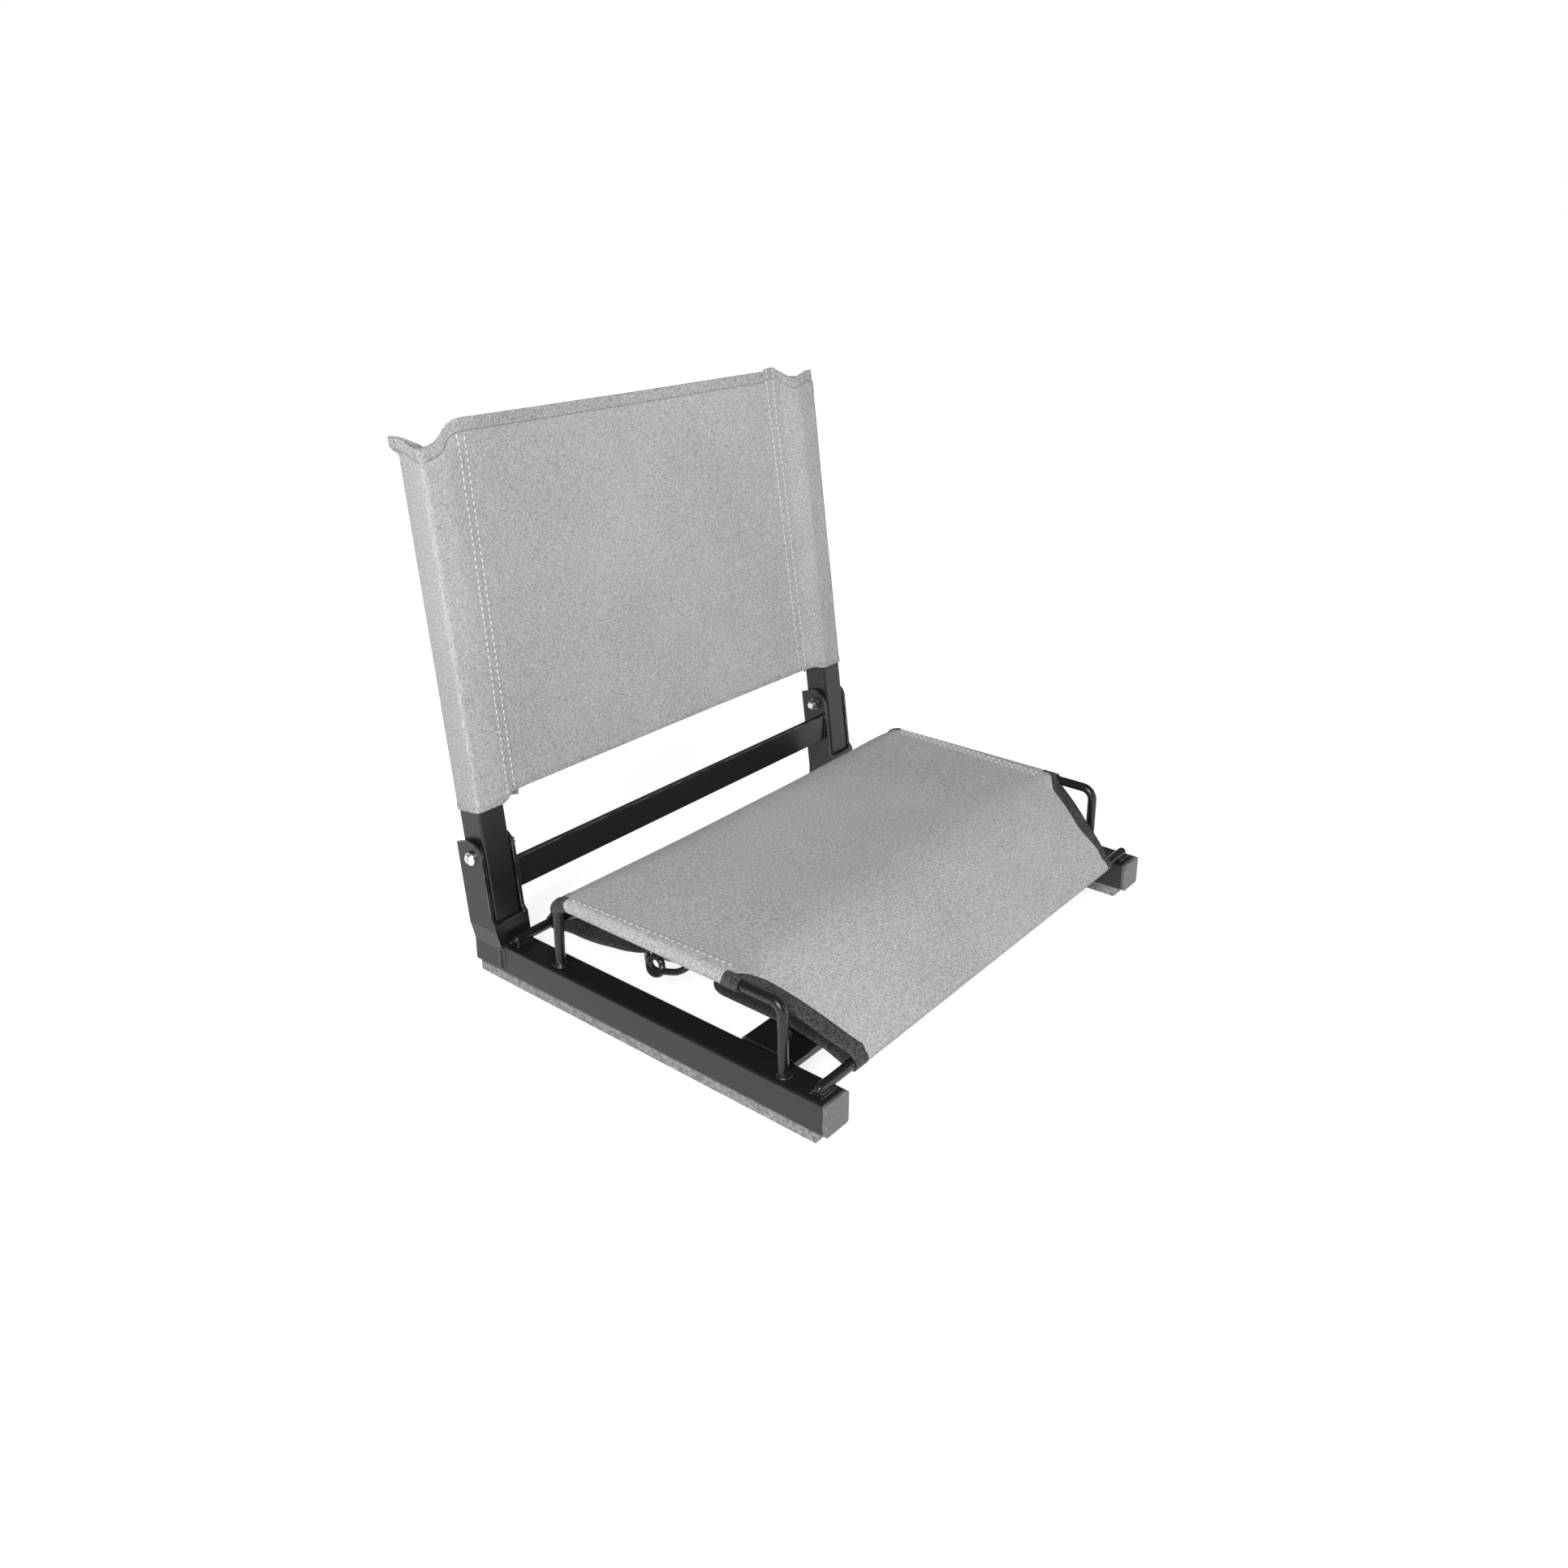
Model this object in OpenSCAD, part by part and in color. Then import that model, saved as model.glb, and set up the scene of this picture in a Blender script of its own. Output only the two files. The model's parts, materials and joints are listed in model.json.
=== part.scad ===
/* [Base rails] */
// Overall width over the two side rails
chair_w = 462; // [380:2:560]
// Depth of the base, front cap to rear cap
base_depth = 355; // [330:1:420]
// Side of the square rail tube
rail_side = 25; // [22:0.5:30]
// Wall of the rail and back tubes
tube_wall = 1.5; // [1.2:0.1:2]
// Outer corner radius of the square tubes
tube_corner = 2; // [1.6:0.1:3]
// Thickness of the plastic cap that shows past a rail end
cap_flange = 3; // [2:0.5:5]
// Depth of the cap's spigot inside a tube
spigot_len = 14; // [8:1:20]
/* [Feet] */
// Thickness of the rubber foot strip
foot_t = 9; // [6:0.5:14]
// Width of the rubber foot strip
foot_w = 24; // [20:0.5:25]
// Bare length of rail in front of and behind the strip
foot_inset = 6; // [5:1:20]
// Diameter of the screws that hold the strip
screw_d = 4; // [3:0.5:5]
/* [Back frame] */
// Side of the square back tube
back_side = 25; // [22:0.5:26]
// Height of the pivot above the top of the rail
pivot_rise = 72; // [68:1:80]
// Distance of the pivot from the rear end of the base
pivot_inset = 7; // [5:0.5:10]
// Lean of the back at rest
recline = 7.5; // [4:0.5:9]
// Length of the back tube above the pivot
back_above = 312; // [260:1:400]
// Length of the back tube below the pivot
back_below = 59; // [54:1:60]
/* [Pivots] */
// Diameter of the pivot bolt
bolt_d = 6; // [5:0.5:8]
// Outer diameter of the bush that the back tube turns on
bush_d = 10; // [9.5:0.5:13]
// Radial clearance of every turning or bolted fit
fit_gap = 0.05; // [0.02:0.01:0.1]
// Side clearance between back tube and bracket, each side
side_gap = 1.5; // [1:0.1:2.5]
/* [Rear brackets] */
// Thickness of the bracket sheet
sheet_t = 3; // [2.5:0.25:4]
// Depth of a bracket flange, front to rear
flange_w = 28.5; // [27:0.5:32]
// Height of the stop web above the rail
stop_h = 17; // [14:1:20]
// Gap between the leaning tube and the stop web
stop_gap = 0.2; // [0.1:0.05:0.5]
/* [Cross members] */
// Thickness of the two flat cross bars
bar_t = 5; // [4:0.5:8]
// Height of the rear bar, which stands on edge
rear_bar_h = 26; // [20:1:30]
// Height of the rear bar's lower edge above the rail
rear_bar_lift = 36.5; // [28:0.5:40]
// Width of the front bar, which lies flat
front_bar_w = 48; // [30:1:60]
// Distance of the front bar from the front of the base
front_bar_y = 47; // [40:1:70]
/* [Seat wires and rods] */
// Diameter of the seat wires and rods
rod_d = 8; // [6:0.5:10]
// Height of a seat wire's axis above the rail
wire_rise = 56; // [46:1:58]
// Place of a wire's front leg, from the front of the base
wire_front_y = 44.5; // [40:0.5:60]
// Place of a wire's rear leg, from the rear of the base
wire_rear_inset = 88; // [80:1:110]
// Distance of a seat wire outboard of the rail's middle
wire_out = 3; // [0:0.5:4]
// Bend radius of a seat wire, on its axis
wire_bend = 10; // [8:1:14]
// Place of the front rod, from the front of the base
front_rod_y = 12.5; // [10:0.5:20]
// Place of the rear rod, from the rear of the base
rear_rod_inset = 38; // [38:0.5:60]
// Distance of a rod's rounded end from the outside of the rail
rod_end_inset = 5; // [2:0.5:9]
/* [Cloth] */
// Thickness of the cloth
cloth_t = 0.9; // [0.8:0.1:1.5]
// Gap between cloth and the metal that it goes round
cloth_gap = 0.3; // [0.2:0.05:0.6]
// Thickness of the edge tape on each face of the cloth
tape_t = 0.9; // [0.6:0.1:1.5]
// Width of the edge tape
tape_w = 12; // [8:0.5:16]
/* [Seat cover] */
// Distance of the cover's side edges from the rails, where it goes round the rods
seat_inset = 16; // [8:1:60]
// Straight length of a seat wire left bare in front of the sleeve
sleeve_front_bare = 39; // [20:1:60]
// Straight length of a seat wire left bare behind the sleeve
sleeve_rear_bare = 0.5; // [0.5:0.5:10]
// Distance of the under flaps' side edges inboard of the cover's
flap_inset = 11; // [8:1:50]
// Gap between the two under flaps, where the lacing crosses
lace_gap = 62; // [40:1:90]
// Diameter of the lacing cord
lace_d = 5; // [4:0.5:6]
// Number of eyelets in one flap
eyelet_n = 7; // [4:1:9]
/* [Back cover] */
// Height of the lower hem above the pivot, along the tube
hem_u = 38; // [34:1:60]
// Height of the panel's top edge above the top of the tube
panel_over = 28; // [10:1:40]
// Height of the sleeve's rim above the top of the tube
rim_over = 8; // [4:1:12]
// Distance of the sleeve seam inboard of the tube's middle
seam_in = 35; // [26:1:50]
// Sag of the panel to the rear at its middle
panel_sag = 5; // [0:1:14]
/* [Hidden] */
$fn = 64;

steel = [0.13, 0.13, 0.14];
zinc = [0.78, 0.79, 0.8];
cap_grey = [0.4, 0.4, 0.41];
rubber_grey = [0.52, 0.52, 0.52];
cloth_grey = [0.7, 0.7, 0.7];
tape_grey = [0.26, 0.26, 0.27];

rail_x = (chair_w - rail_side) / 2;
rail_top = foot_t + rail_side;
rail_len = base_depth - 2 * cap_flange;
bracket_in = back_side + 2 * side_gap;
bracket_out = bracket_in + 2 * sheet_t;
inner_face = rail_x - rail_side / 2;
tube_x = inner_face + bracket_in / 2;
wire_x = rail_x + wire_out;
seat_half_w = inner_face - seat_inset;
flap_half_w = seat_half_w - flap_inset;

pivot_y = base_depth - pivot_inset;
pivot_z = rail_top + pivot_rise;
back_half = back_side / 2;
skin_off = cloth_gap + cloth_t;
rim_u = back_above + rim_over;
panel_u = back_above + panel_over;
over_all_y = pivot_y + rim_u * sin(recline) + (back_half + skin_off) * cos(recline);
mid_y = over_all_y / 2;

half_top = wire_x - rod_d / 2 - 1.5;
wire_z = rail_top + wire_rise;
wire_rear_y = base_depth - wire_rear_inset;
rod_lift = 0.1;
rod_z = rail_top + rod_d / 2 + rod_lift;
rear_rod_y = base_depth - rear_rod_inset;
wrap_r = rod_d / 2 + cloth_gap + cloth_t / 2;
seat_z = wire_z + wrap_r;
sleeve_y0 = wire_front_y + wire_bend + sleeve_front_bare;
sleeve_y1 = wire_rear_y - wire_bend - sleeve_rear_bare;
front_bar_z = rail_top - bar_t;

plug_t = 2.5;
plug_fit = 0.3;
head_d = 1.9 * bolt_d;
head_h = 0.7 * bolt_d;
nut_af = 1.65 * bolt_d;
nut_h = 0.85 * bolt_d;
washer_t = 1.2;
washer_play = 0.1;
screw_head_d = 2 * screw_d;
screw_bite = 3;
groove_w = 2;
groove_d = 1.5;
weld_leg = 3;
web_bite = 0.5;
joggle_h = 16;
foot_rear_inset = 1;
foot_bevel = 4;
flap_taper = 36;
bracket_low = foot_t + 4;
flap_z = rail_top + 3.2;
flap_corner = 22;
flap_mid_y = (front_rod_y + rear_rod_y) / 2 + 25;
flap_front_end = flap_mid_y - lace_gap / 2;
flap_rear_end = flap_mid_y + lace_gap / 2;
eyelet_in = 10;
flap_hem = 2 * eyelet_in + 4;
eyelet_hole = lace_d + 2;
barrel_t = 0.6;
rim_t = 0.8;
rim_w = 3;
eyelet_x0 = flap_half_w - tape_w - eyelet_hole / 2 - rim_w - 1;
eyelet_step = 2 * eyelet_x0 / (eyelet_n - 1);
plate_bolt_x = flap_half_w + 0.3 * (inner_face - flap_half_w);

module place() translate([0, -mid_y, 0]) children();
module at_pivot() place() translate([0, pivot_y, pivot_z]) rotate([-recline, 0, 0]) children();

module rounded_square(side, r) {
    square([side, side - 2 * r], center = true);
    square([side - 2 * r, side], center = true);
    for (x = [-1, 1], y = [-1, 1]) translate([x, y] * (side / 2 - r)) circle(r);
}

module square_tube(side, len) {
    linear_extrude(len) difference() {
        rounded_square(side, tube_corner);
        square(side - 2 * tube_wall, center = true);
    }
}

// A plug with a flange over the tube's end and a ribbed spigot inside, from z = 0 upwards
module tube_plug(side, flange) {
    bore = side - 2 * tube_wall;
    core = bore - 2 * plug_fit;
    rib = 1.6;
    linear_extrude(flange) rounded_square(side, tube_corner);
    translate([0, 0, flange]) linear_extrude(spigot_len) difference() {
        square(core, center = true);
        square(core - 5, center = true);
    }
    for (a = [0 : 90 : 270], s = [-1, 1]) rotate([0, 0, a])
        translate([s * core / 4 - rib / 2, core / 2 - plug_fit, flange])
            cube([rib, 2 * plug_fit - fit_gap, spigot_len * 0.7]);
}

// Base rails, caps and feet
first_screw_y = 0.12 * base_depth;
screw_ys = [for (k = [0 : 2]) first_screw_y + k * (base_depth - 2 * first_screw_y) / 2];

module rail(side) {
    color(steel) place() translate([side * rail_x, 0, foot_t + rail_side / 2]) difference() {
        translate([0, cap_flange, 0]) rotate([-90, 0, 0]) square_tube(rail_side, rail_len);
        for (y = screw_ys) translate([0, y, -rail_side / 2 - 1])
            cylinder(d = screw_d + 2 * fit_gap, h = tube_wall + 2);
    }
}

module front_cap(side) {
    color(cap_grey) place() translate([side * rail_x, 0, foot_t + rail_side / 2])
        rotate([-90, 0, 0]) tube_plug(rail_side, cap_flange);
}

module rear_cap(side) {
    color(cap_grey) place() translate([side * rail_x, base_depth, foot_t + rail_side / 2])
        rotate([90, 0, 0]) tube_plug(rail_side, cap_flange);
}

module foot(side) {
    len = base_depth - foot_inset - foot_rear_inset;
    chamfer = 1.2;
    half = foot_w / 2;
    color(rubber_grey) place() translate([side * rail_x, foot_inset, 0]) difference() {
        translate([0, len, 0]) rotate([90, 0, 0]) linear_extrude(len) difference() {
            polygon([[-half, foot_t], [half, foot_t], [half, chamfer], [half - chamfer, 0],
                [chamfer - half, 0], [-half, chamfer]]);
            for (x = [-1, 1], k = [0, 1]) translate([x * foot_w * (0.16 + 0.2 * k) - groove_w / 2, -1])
                square([groove_w, groove_d + 1]);
        }
        translate([-foot_w, 0, 0]) rotate([90, 0, 90]) linear_extrude(2 * foot_w)
            polygon([[-1, foot_t - 1], [0, foot_t - 1], [foot_bevel, -0.01], [foot_bevel, -1], [-1, -1]]);
        for (y = screw_ys) translate([0, y - foot_inset, -1]) {
            cylinder(d = screw_d + 2 * fit_gap, h = foot_t + 2);
            cylinder(d = screw_head_d + 1, h = foot_t / 2 + 1);
        }
    }
}

module foot_screws() {
    head = 0.55 * screw_d;
    color(zinc) place() for (side = [-1, 1], y = screw_ys) translate([side * rail_x, y, foot_t / 2]) difference() {
        union() {
            translate([0, 0, -head]) cylinder(d1 = screw_head_d * 0.7, d2 = screw_head_d, h = head);
            cylinder(d = screw_d, h = foot_t / 2 + tube_wall + screw_bite);
        }
        for (a = [0, 90]) rotate([0, 0, a]) cube([screw_head_d * 0.55, 0.9, 2 * head], center = true);
    }
}

// Rear brackets: one folded sheet, two flanges and a low stop web, open to the rear
web_u = rail_top + stop_h - pivot_z;
web_front = -back_half - stop_gap - sheet_t;
module flange_outline() {
    nose = flange_w / 2;
    front = -back_half;
    drop = pivot_z - rail_top + sheet_t;
    difference() {
        union() {
            difference() {
                translate([pivot_y, pivot_z]) rotate(-recline) {
                    translate([front + nose, 0]) circle(nose);
                    polygon([[front + nose, -1], [front + flange_w, -1], [front + flange_w, 0.8 * nose], [front + nose, nose]]);
                    translate([front, -drop]) square([flange_w, drop]);
                    polygon([[front + 1, -drop], [web_front, -drop], [web_front, web_u], [front + 1, web_u + 2 * sheet_t]]);
                }
                square([2 * base_depth, rail_top]);
            }
            translate([base_depth - flange_w, bracket_low]) square([flange_w, rail_top + 6 - bracket_low]);
        }
        translate([pivot_y, pivot_z]) circle(d = bolt_d + 2 * fit_gap);
    }
}

module bracket(side) {
    face = rail_side / 2;
    step = bracket_in - rail_side;
    bend = rail_top - tube_corner;
    color(steel) place() translate([side * rail_x, 0, 0]) mirror([side > 0 ? 0 : 1, 0, 0]) {
        translate([-face - sheet_t, 0, 0]) rotate([90, 0, 90]) linear_extrude(sheet_t) flange_outline();
        intersection() {
            translate([face, 0, 0]) rotate([90, 0, 90]) linear_extrude(sheet_t + step) flange_outline();
            translate([0, 2 * base_depth, 0]) rotate([90, 0, 0]) linear_extrude(2 * base_depth)
                polygon([[face, 0], [face + sheet_t, 0], [face + sheet_t, bend - 1],
                    [face + sheet_t + step, bend + joggle_h - 1], [face + sheet_t + step, 2 * pivot_z],
                    [face + step, 2 * pivot_z], [face + step, bend + joggle_h], [face, bend]]);
        }
        for (way = [-1, 1]) translate([way * face, base_depth - flange_w, bracket_low])
            linear_extrude(rail_top - bracket_low - tube_corner - 1)
                polygon([[0, 0.5], [0, -weld_leg], [way * weld_leg * 0.7, 0], [way * weld_leg * 0.7, 0.5]]);
        difference() {
            translate([0, pivot_y, pivot_z]) rotate([-recline, 0, 0])
                translate([-face - web_bite, web_front, web_u - stop_h - 6])
                    cube([bracket_in + 2 * web_bite, sheet_t, stop_h + 6]);
            translate([-rail_side, 0, -1]) cube([2 * rail_side, base_depth, rail_top + 1]);
        }
    }
}

module rear_crossbar() {
    half = inner_face - sheet_t;
    z0 = rail_top + rear_bar_lift;
    y_mid = pivot_y - (pivot_z - z0 - rear_bar_h / 2) * tan(recline) - flange_w / 4;
    color(steel) place() translate([-half, y_mid - bar_t / 2, z0]) cube([2 * half, bar_t, rear_bar_h]);
}

module front_plate() {
    color(steel) place() difference() {
        translate([-inner_face, front_bar_y, front_bar_z]) cube([2 * inner_face, front_bar_w, bar_t]);
        for (side = [-1, 1]) translate([side * plate_bolt_x, front_bar_y + front_bar_w / 2, front_bar_z - 1])
            cylinder(d = bolt_d + 2 * fit_gap, h = bar_t + 2);
    }
}

module hex(af, h) cylinder(d = af / cos(30), h = h, $fn = 6);

module plate_bolts() {
    color(zinc) place() for (side = [-1, 1])
        translate([side * plate_bolt_x, front_bar_y + front_bar_w / 2, front_bar_z]) {
            translate([0, 0, bar_t]) hex(nut_af, 0.65 * bolt_d);
            translate([0, 0, -nut_h - 2]) cylinder(d = bolt_d, h = bar_t + nut_h + 2.5);
        }
}

module plate_nuts() {
    color(zinc) place() for (side = [-1, 1])
        translate([side * plate_bolt_x, front_bar_y + front_bar_w / 2, front_bar_z - nut_h]) difference() {
            hex(nut_af, nut_h);
            translate([0, 0, -1]) cylinder(d = bolt_d + 2 * fit_gap, h = nut_h + 2);
        }
}

// Seat wires: a leg, a bend, a straight run, a bend and a leg, welded on top of a rail
module seat_wire(side) {
    leg = wire_rise - wire_bend;
    run = wire_rear_y - wire_front_y - 2 * wire_bend;
    color(steel) place() translate([side * wire_x, 0, rail_top]) {
        for (y = [wire_front_y, wire_rear_y]) translate([0, y, 0]) {
            cylinder(d = rod_d, h = leg);
            cylinder(d1 = rod_d + weld_leg, d2 = rod_d, h = weld_leg);
        }
        translate([0, wire_front_y + wire_bend, leg]) rotate([90, 0, -90])
            rotate_extrude(angle = 90) translate([wire_bend, 0]) circle(d = rod_d);
        translate([0, wire_rear_y - wire_bend, leg]) rotate([90, 0, 90])
            rotate_extrude(angle = 90) translate([wire_bend, 0]) circle(d = rod_d);
        translate([0, wire_front_y + wire_bend, wire_rise]) rotate([-90, 0, 0]) cylinder(d = rod_d, h = run);
    }
}

// A cross rod with rounded ends, and a fillet weld on both sides of it over each rail
module cross_rod(y) {
    half = chair_w / 2 - rod_end_inset - rod_d / 2;
    bead = 0.5 * rail_side;
    toe = rod_d / 2 + weld_leg / 2;
    color(steel) place() translate([0, y, rod_z]) {
        translate([-half, 0, 0]) rotate([0, 90, 0]) cylinder(d = rod_d, h = 2 * half);
        for (side = [-1, 1]) {
            translate([side * half, 0, 0]) sphere(d = rod_d);
            translate([side * rail_x - bead / 2, 0, -rod_z + rail_top]) rotate([90, 0, 90]) linear_extrude(bead)
                polygon([[-toe, 0], [toe, 0], [rod_d * 0.46, rod_d / 3], [-rod_d * 0.46, rod_d / 3]]);
        }
    }
}

// Cloth: a thick line along a path, its corners mitred
function unit(v) = v / norm(v);
function side_of(a, b) = let (d = unit(b - a)) [-d[1], d[0]];
function miter(p, i) = let (
        n = len(p),
        a = side_of(p[max(i - 1, 0)], p[max(i, 1)]),
        b = side_of(p[min(i, n - 2)], p[min(i + 1, n - 1)]))
    (a + b) / (1 + a * b);
function ribbon(p, t) = concat(
    [for (i = [0 : len(p) - 1]) p[i] + miter(p, i) * t / 2],
    [for (i = [len(p) - 1 : -1 : 0]) p[i] - miter(p, i) * t / 2]);
function arc(c, r, a0, a1, n) = [for (i = [0 : n]) c + r * [cos(a0 + (a1 - a0) * i / n), sin(a0 + (a1 - a0) * i / n)]];
function reversed(p) = [for (i = [len(p) - 1 : -1 : 0]) p[i]];

// The seat cover in side view: round the front rod, over the wires and round the rear rod
crown = 7;
slope_n = 5;
front_lean = atan((seat_z - rod_z) / (sleeve_y0 - front_rod_y));
rear_lean = atan((seat_z - rod_z) / (rear_rod_y - sleeve_y1));
function slope(a, b, bulge) = let (d = b - a, n = side_of(a, b))
    [for (i = [1 : slope_n]) let (k = i / (slope_n + 1)) a + d * k + n * bulge * 4 * k * (1 - k)];
front_wrap = arc([front_rod_y, rod_z], wrap_r, 270, 90 + front_lean + 8, 6);
rear_wrap = arc([rear_rod_y, rod_z], wrap_r, 90 - rear_lean - 8, -90, 6);
front_top = [sleeve_y0, seat_z];
rear_top = [sleeve_y1, seat_z];
top_path = concat(front_wrap, slope(front_wrap[6], front_top, crown), [front_top, rear_top],
    slope(rear_top, rear_wrap[0], crown), rear_wrap);
front_flap_path = [[front_rod_y, rod_z - wrap_r], [front_rod_y + 14, rod_z - wrap_r + 0.4],
    [front_bar_y - 4, flap_z - 0.8], [flap_front_end - flap_hem, flap_z], [flap_front_end, flap_z]];
rear_flap_path = [[flap_rear_end, flap_z], [flap_rear_end + flap_hem, flap_z],
    [rear_rod_y - flap_hem, flap_z - 0.8], [rear_rod_y, rod_z - wrap_r]];

module side_view(half_w) translate([-half_w, 0, 0]) rotate([90, 0, 90]) linear_extrude(2 * half_w) children();

// Corner cut of the seat cover in plan, as a round and a straight edge, grown outward by more
cut_w = wire_x + rod_d - seat_half_w;
function cut_r(h) = (h * h + cut_w * cut_w) / (2 * cut_w);
front_cut_y = front_rod_y + 5.5;
rear_cut_y = rear_rod_y - 5.5;
cut_end = 3;
far = base_depth;
module corner_cut(more) {
    for (side = [-1, 1]) {
        r0 = cut_r(sleeve_y0 - cut_end - front_cut_y);
        r1 = cut_r(rear_cut_y - sleeve_y1 - cut_end);
        translate([side * (seat_half_w + r0), front_cut_y]) circle(r0 + more, $fn = 96);
        translate([side * (seat_half_w + r1), rear_cut_y]) circle(r1 + more, $fn = 96);
        translate([side > 0 ? seat_half_w - more : -seat_half_w - far, -far])
            square([far + more, front_cut_y + far]);
        translate([side > 0 ? seat_half_w - more : -seat_half_w - far, rear_cut_y])
            square([far + more, far]);
    }
}
module cut_prism(more) translate([0, 0, rail_top - 20]) linear_extrude(wire_rise + 60) corner_cut(more);

module flap_corners(more) {
    linear_extrude(rail_side, center = true) for (side = [-1, 1], k = [0, 1])
        translate([side * (flap_half_w - flap_corner), k == 0 ? flap_front_end - flap_corner : flap_rear_end + flap_corner])
            difference() {
                translate([side > 0 ? 0 : -flap_corner - 1, k == 0 ? 0 : -flap_corner - 1]) square(flap_corner + 1);
                circle(flap_corner - more);
            }
}

eyelet_spots = [for (i = [0 : eyelet_n - 1], y = [flap_front_end - eyelet_in, flap_rear_end + eyelet_in])
    [-eyelet_x0 + i * eyelet_step, y]];

// The flaps in plan: as wide as the cover at the rods, narrower further in
module flap_plan(less) linear_extrude(seat_z) polygon([for (side = [-1, 1], k = [0 : 3]) let (
        q = side < 0 ? k : 3 - k,
        y = q < 2 ? front_rod_y + q * flap_taper : rear_rod_y - (3 - q) * flap_taper,
        end = q == 0 || q == 3)
    [side * ((end ? seat_half_w : flap_half_w) - less), y]]);

module under_flaps(t, more) {
    difference() {
        intersection() {
            side_view(seat_half_w) {
                polygon(ribbon(front_flap_path, t));
                polygon(ribbon(rear_flap_path, t));
            }
            flap_plan(more);
        }
        translate([0, 0, flap_z]) flap_corners(more);
    }
}

module wire_sleeve(side) {
    seam = [-rod_d / 2 - 6, wrap_r - cloth_t - 0.1];
    leave = atan2(seam[1], seam[0]) + acos(wrap_r / norm(seam)) - 360;
    path = concat([[-rod_d / 2 - 9, wrap_r]], arc([0, 0], wrap_r, 90, leave, 10), [seam]);
    translate([side * wire_x, sleeve_y1, wire_z]) mirror([side > 0 ? 0 : 1, 0, 0]) rotate([90, 0, 0])
        linear_extrude(sleeve_y1 - sleeve_y0) polygon(ribbon(path, cloth_t));
}

module seat_cover() {
    color(cloth_grey) place() difference() {
        union() {
            difference() {
                union() {
                    side_view(half_top) polygon(ribbon(top_path, cloth_t));
                    for (side = [-1, 1]) wire_sleeve(side);
                }
                cut_prism(1);
            }
            under_flaps(cloth_t, 1);
        }
        for (s = eyelet_spots) translate([s[0], s[1], flap_z - 4]) cylinder(d = eyelet_hole + 2 * barrel_t + 0.4, h = 8);
    }
}

// Edge tape: a thicker skin along the cut edges, folded over them
module seat_binding() {
    grown = cloth_t + 2 * (tape_t + 0.1);
    color(tape_grey) place() difference() {
        intersection() {
            side_view(half_top) polygon(ribbon(top_path, grown));
            cut_prism(tape_w);
        }
        cut_prism(0);
        difference() {
            side_view(half_top + 1) polygon(ribbon(top_path, cloth_t + 0.2));
            cut_prism(0.8);
        }
        for (y = [front_rod_y, rear_rod_y]) translate([-chair_w / 2, y, rod_z]) rotate([0, 90, 0])
            cylinder(r = rod_d / 2 + cloth_gap, h = chair_w);
        translate([-chair_w / 2, sleeve_y0 - 0.2, rail_top])
            cube([chair_w, sleeve_y1 - sleeve_y0 + 0.4, seat_z - rail_top]);
    }
}

module flap_binding() {
    grown = cloth_t + 2 * (tape_t + 0.1);
    color(tape_grey) place() difference() {
        under_flaps(grown, 0);
        under_flaps(cloth_t + 0.2, 0.8);
        flap_plan(tape_w);
        side_view(chair_w / 2) {
            translate([front_rod_y - wrap_r * 2, rod_z - 20]) square([wrap_r * 2 + 3, 40]);
            translate([rear_rod_y - 3, rod_z - 20]) square([wrap_r * 2 + 3, 40]);
        }
    }
}

module flap_eyelets() {
    half_t = cloth_t / 2 + 0.1;
    hole = eyelet_hole / 2;
    color(zinc) place() for (s = eyelet_spots) translate([s[0], s[1], flap_z]) rotate_extrude() polygon([
        [hole, -half_t - rim_t], [hole + rim_w, -half_t - rim_t], [hole + rim_w, -half_t], [hole + barrel_t, -half_t],
        [hole + barrel_t, half_t], [hole + rim_w, half_t], [hole + rim_w, half_t + rim_t], [hole, half_t + rim_t]]);
}

// Lacing: up through a rear eyelet, over to the front one and down, then under to the next rear one
lace_r = lace_d / 2;
lace_lift = cloth_t / 2 + rim_t + lace_r + 0.5;
ring_n = 8;
lace_tail = [[-flap_half_w + 4, flap_rear_end - 13, flap_z - lace_lift - 1],
    [-flap_half_w - 5, flap_rear_end - 13, flap_z - lace_lift - 2],
    [-flap_half_w - 8, flap_rear_end - 5, flap_z - lace_lift - 1],
    [-flap_half_w - 1, flap_rear_end + 2, flap_z - lace_lift],
    [-eyelet_x0 - 6, flap_rear_end + 3, flap_z - lace_lift]];
lace_bend = [[-1.36 * lace_r, -lace_lift], [-0.4 * lace_r, 0.32 * lace_r - lace_lift], [0, 1.16 * lace_r - lace_lift]];
function lace_turn(x, y, up, way) = [for (i = [0 : 5]) let (
        q = lace_bend[i < 3 ? i : 5 - i],
        z = i < 3 ? q[1] : -q[1])
    [x, y + way * q[0], flap_z + up * z]];
lace_route = concat(lace_tail, [for (i = [0 : eyelet_n - 1]) let (x = -eyelet_x0 + i * eyelet_step)
    each concat(lace_turn(x, flap_rear_end + eyelet_in, 1, 1), lace_turn(x, flap_front_end - eyelet_in, -1, -1))]);
function tangent(p, i) = unit(p[min(i + 1, len(p) - 1)] - p[max(i - 1, 0)]);
function turned(n, t) = unit(n - t * (n * t));
function normals(p, i, n) = i == len(p) ? [] : let (m = turned(n, tangent(p, i))) concat([m], normals(p, i + 1, m));
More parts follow.
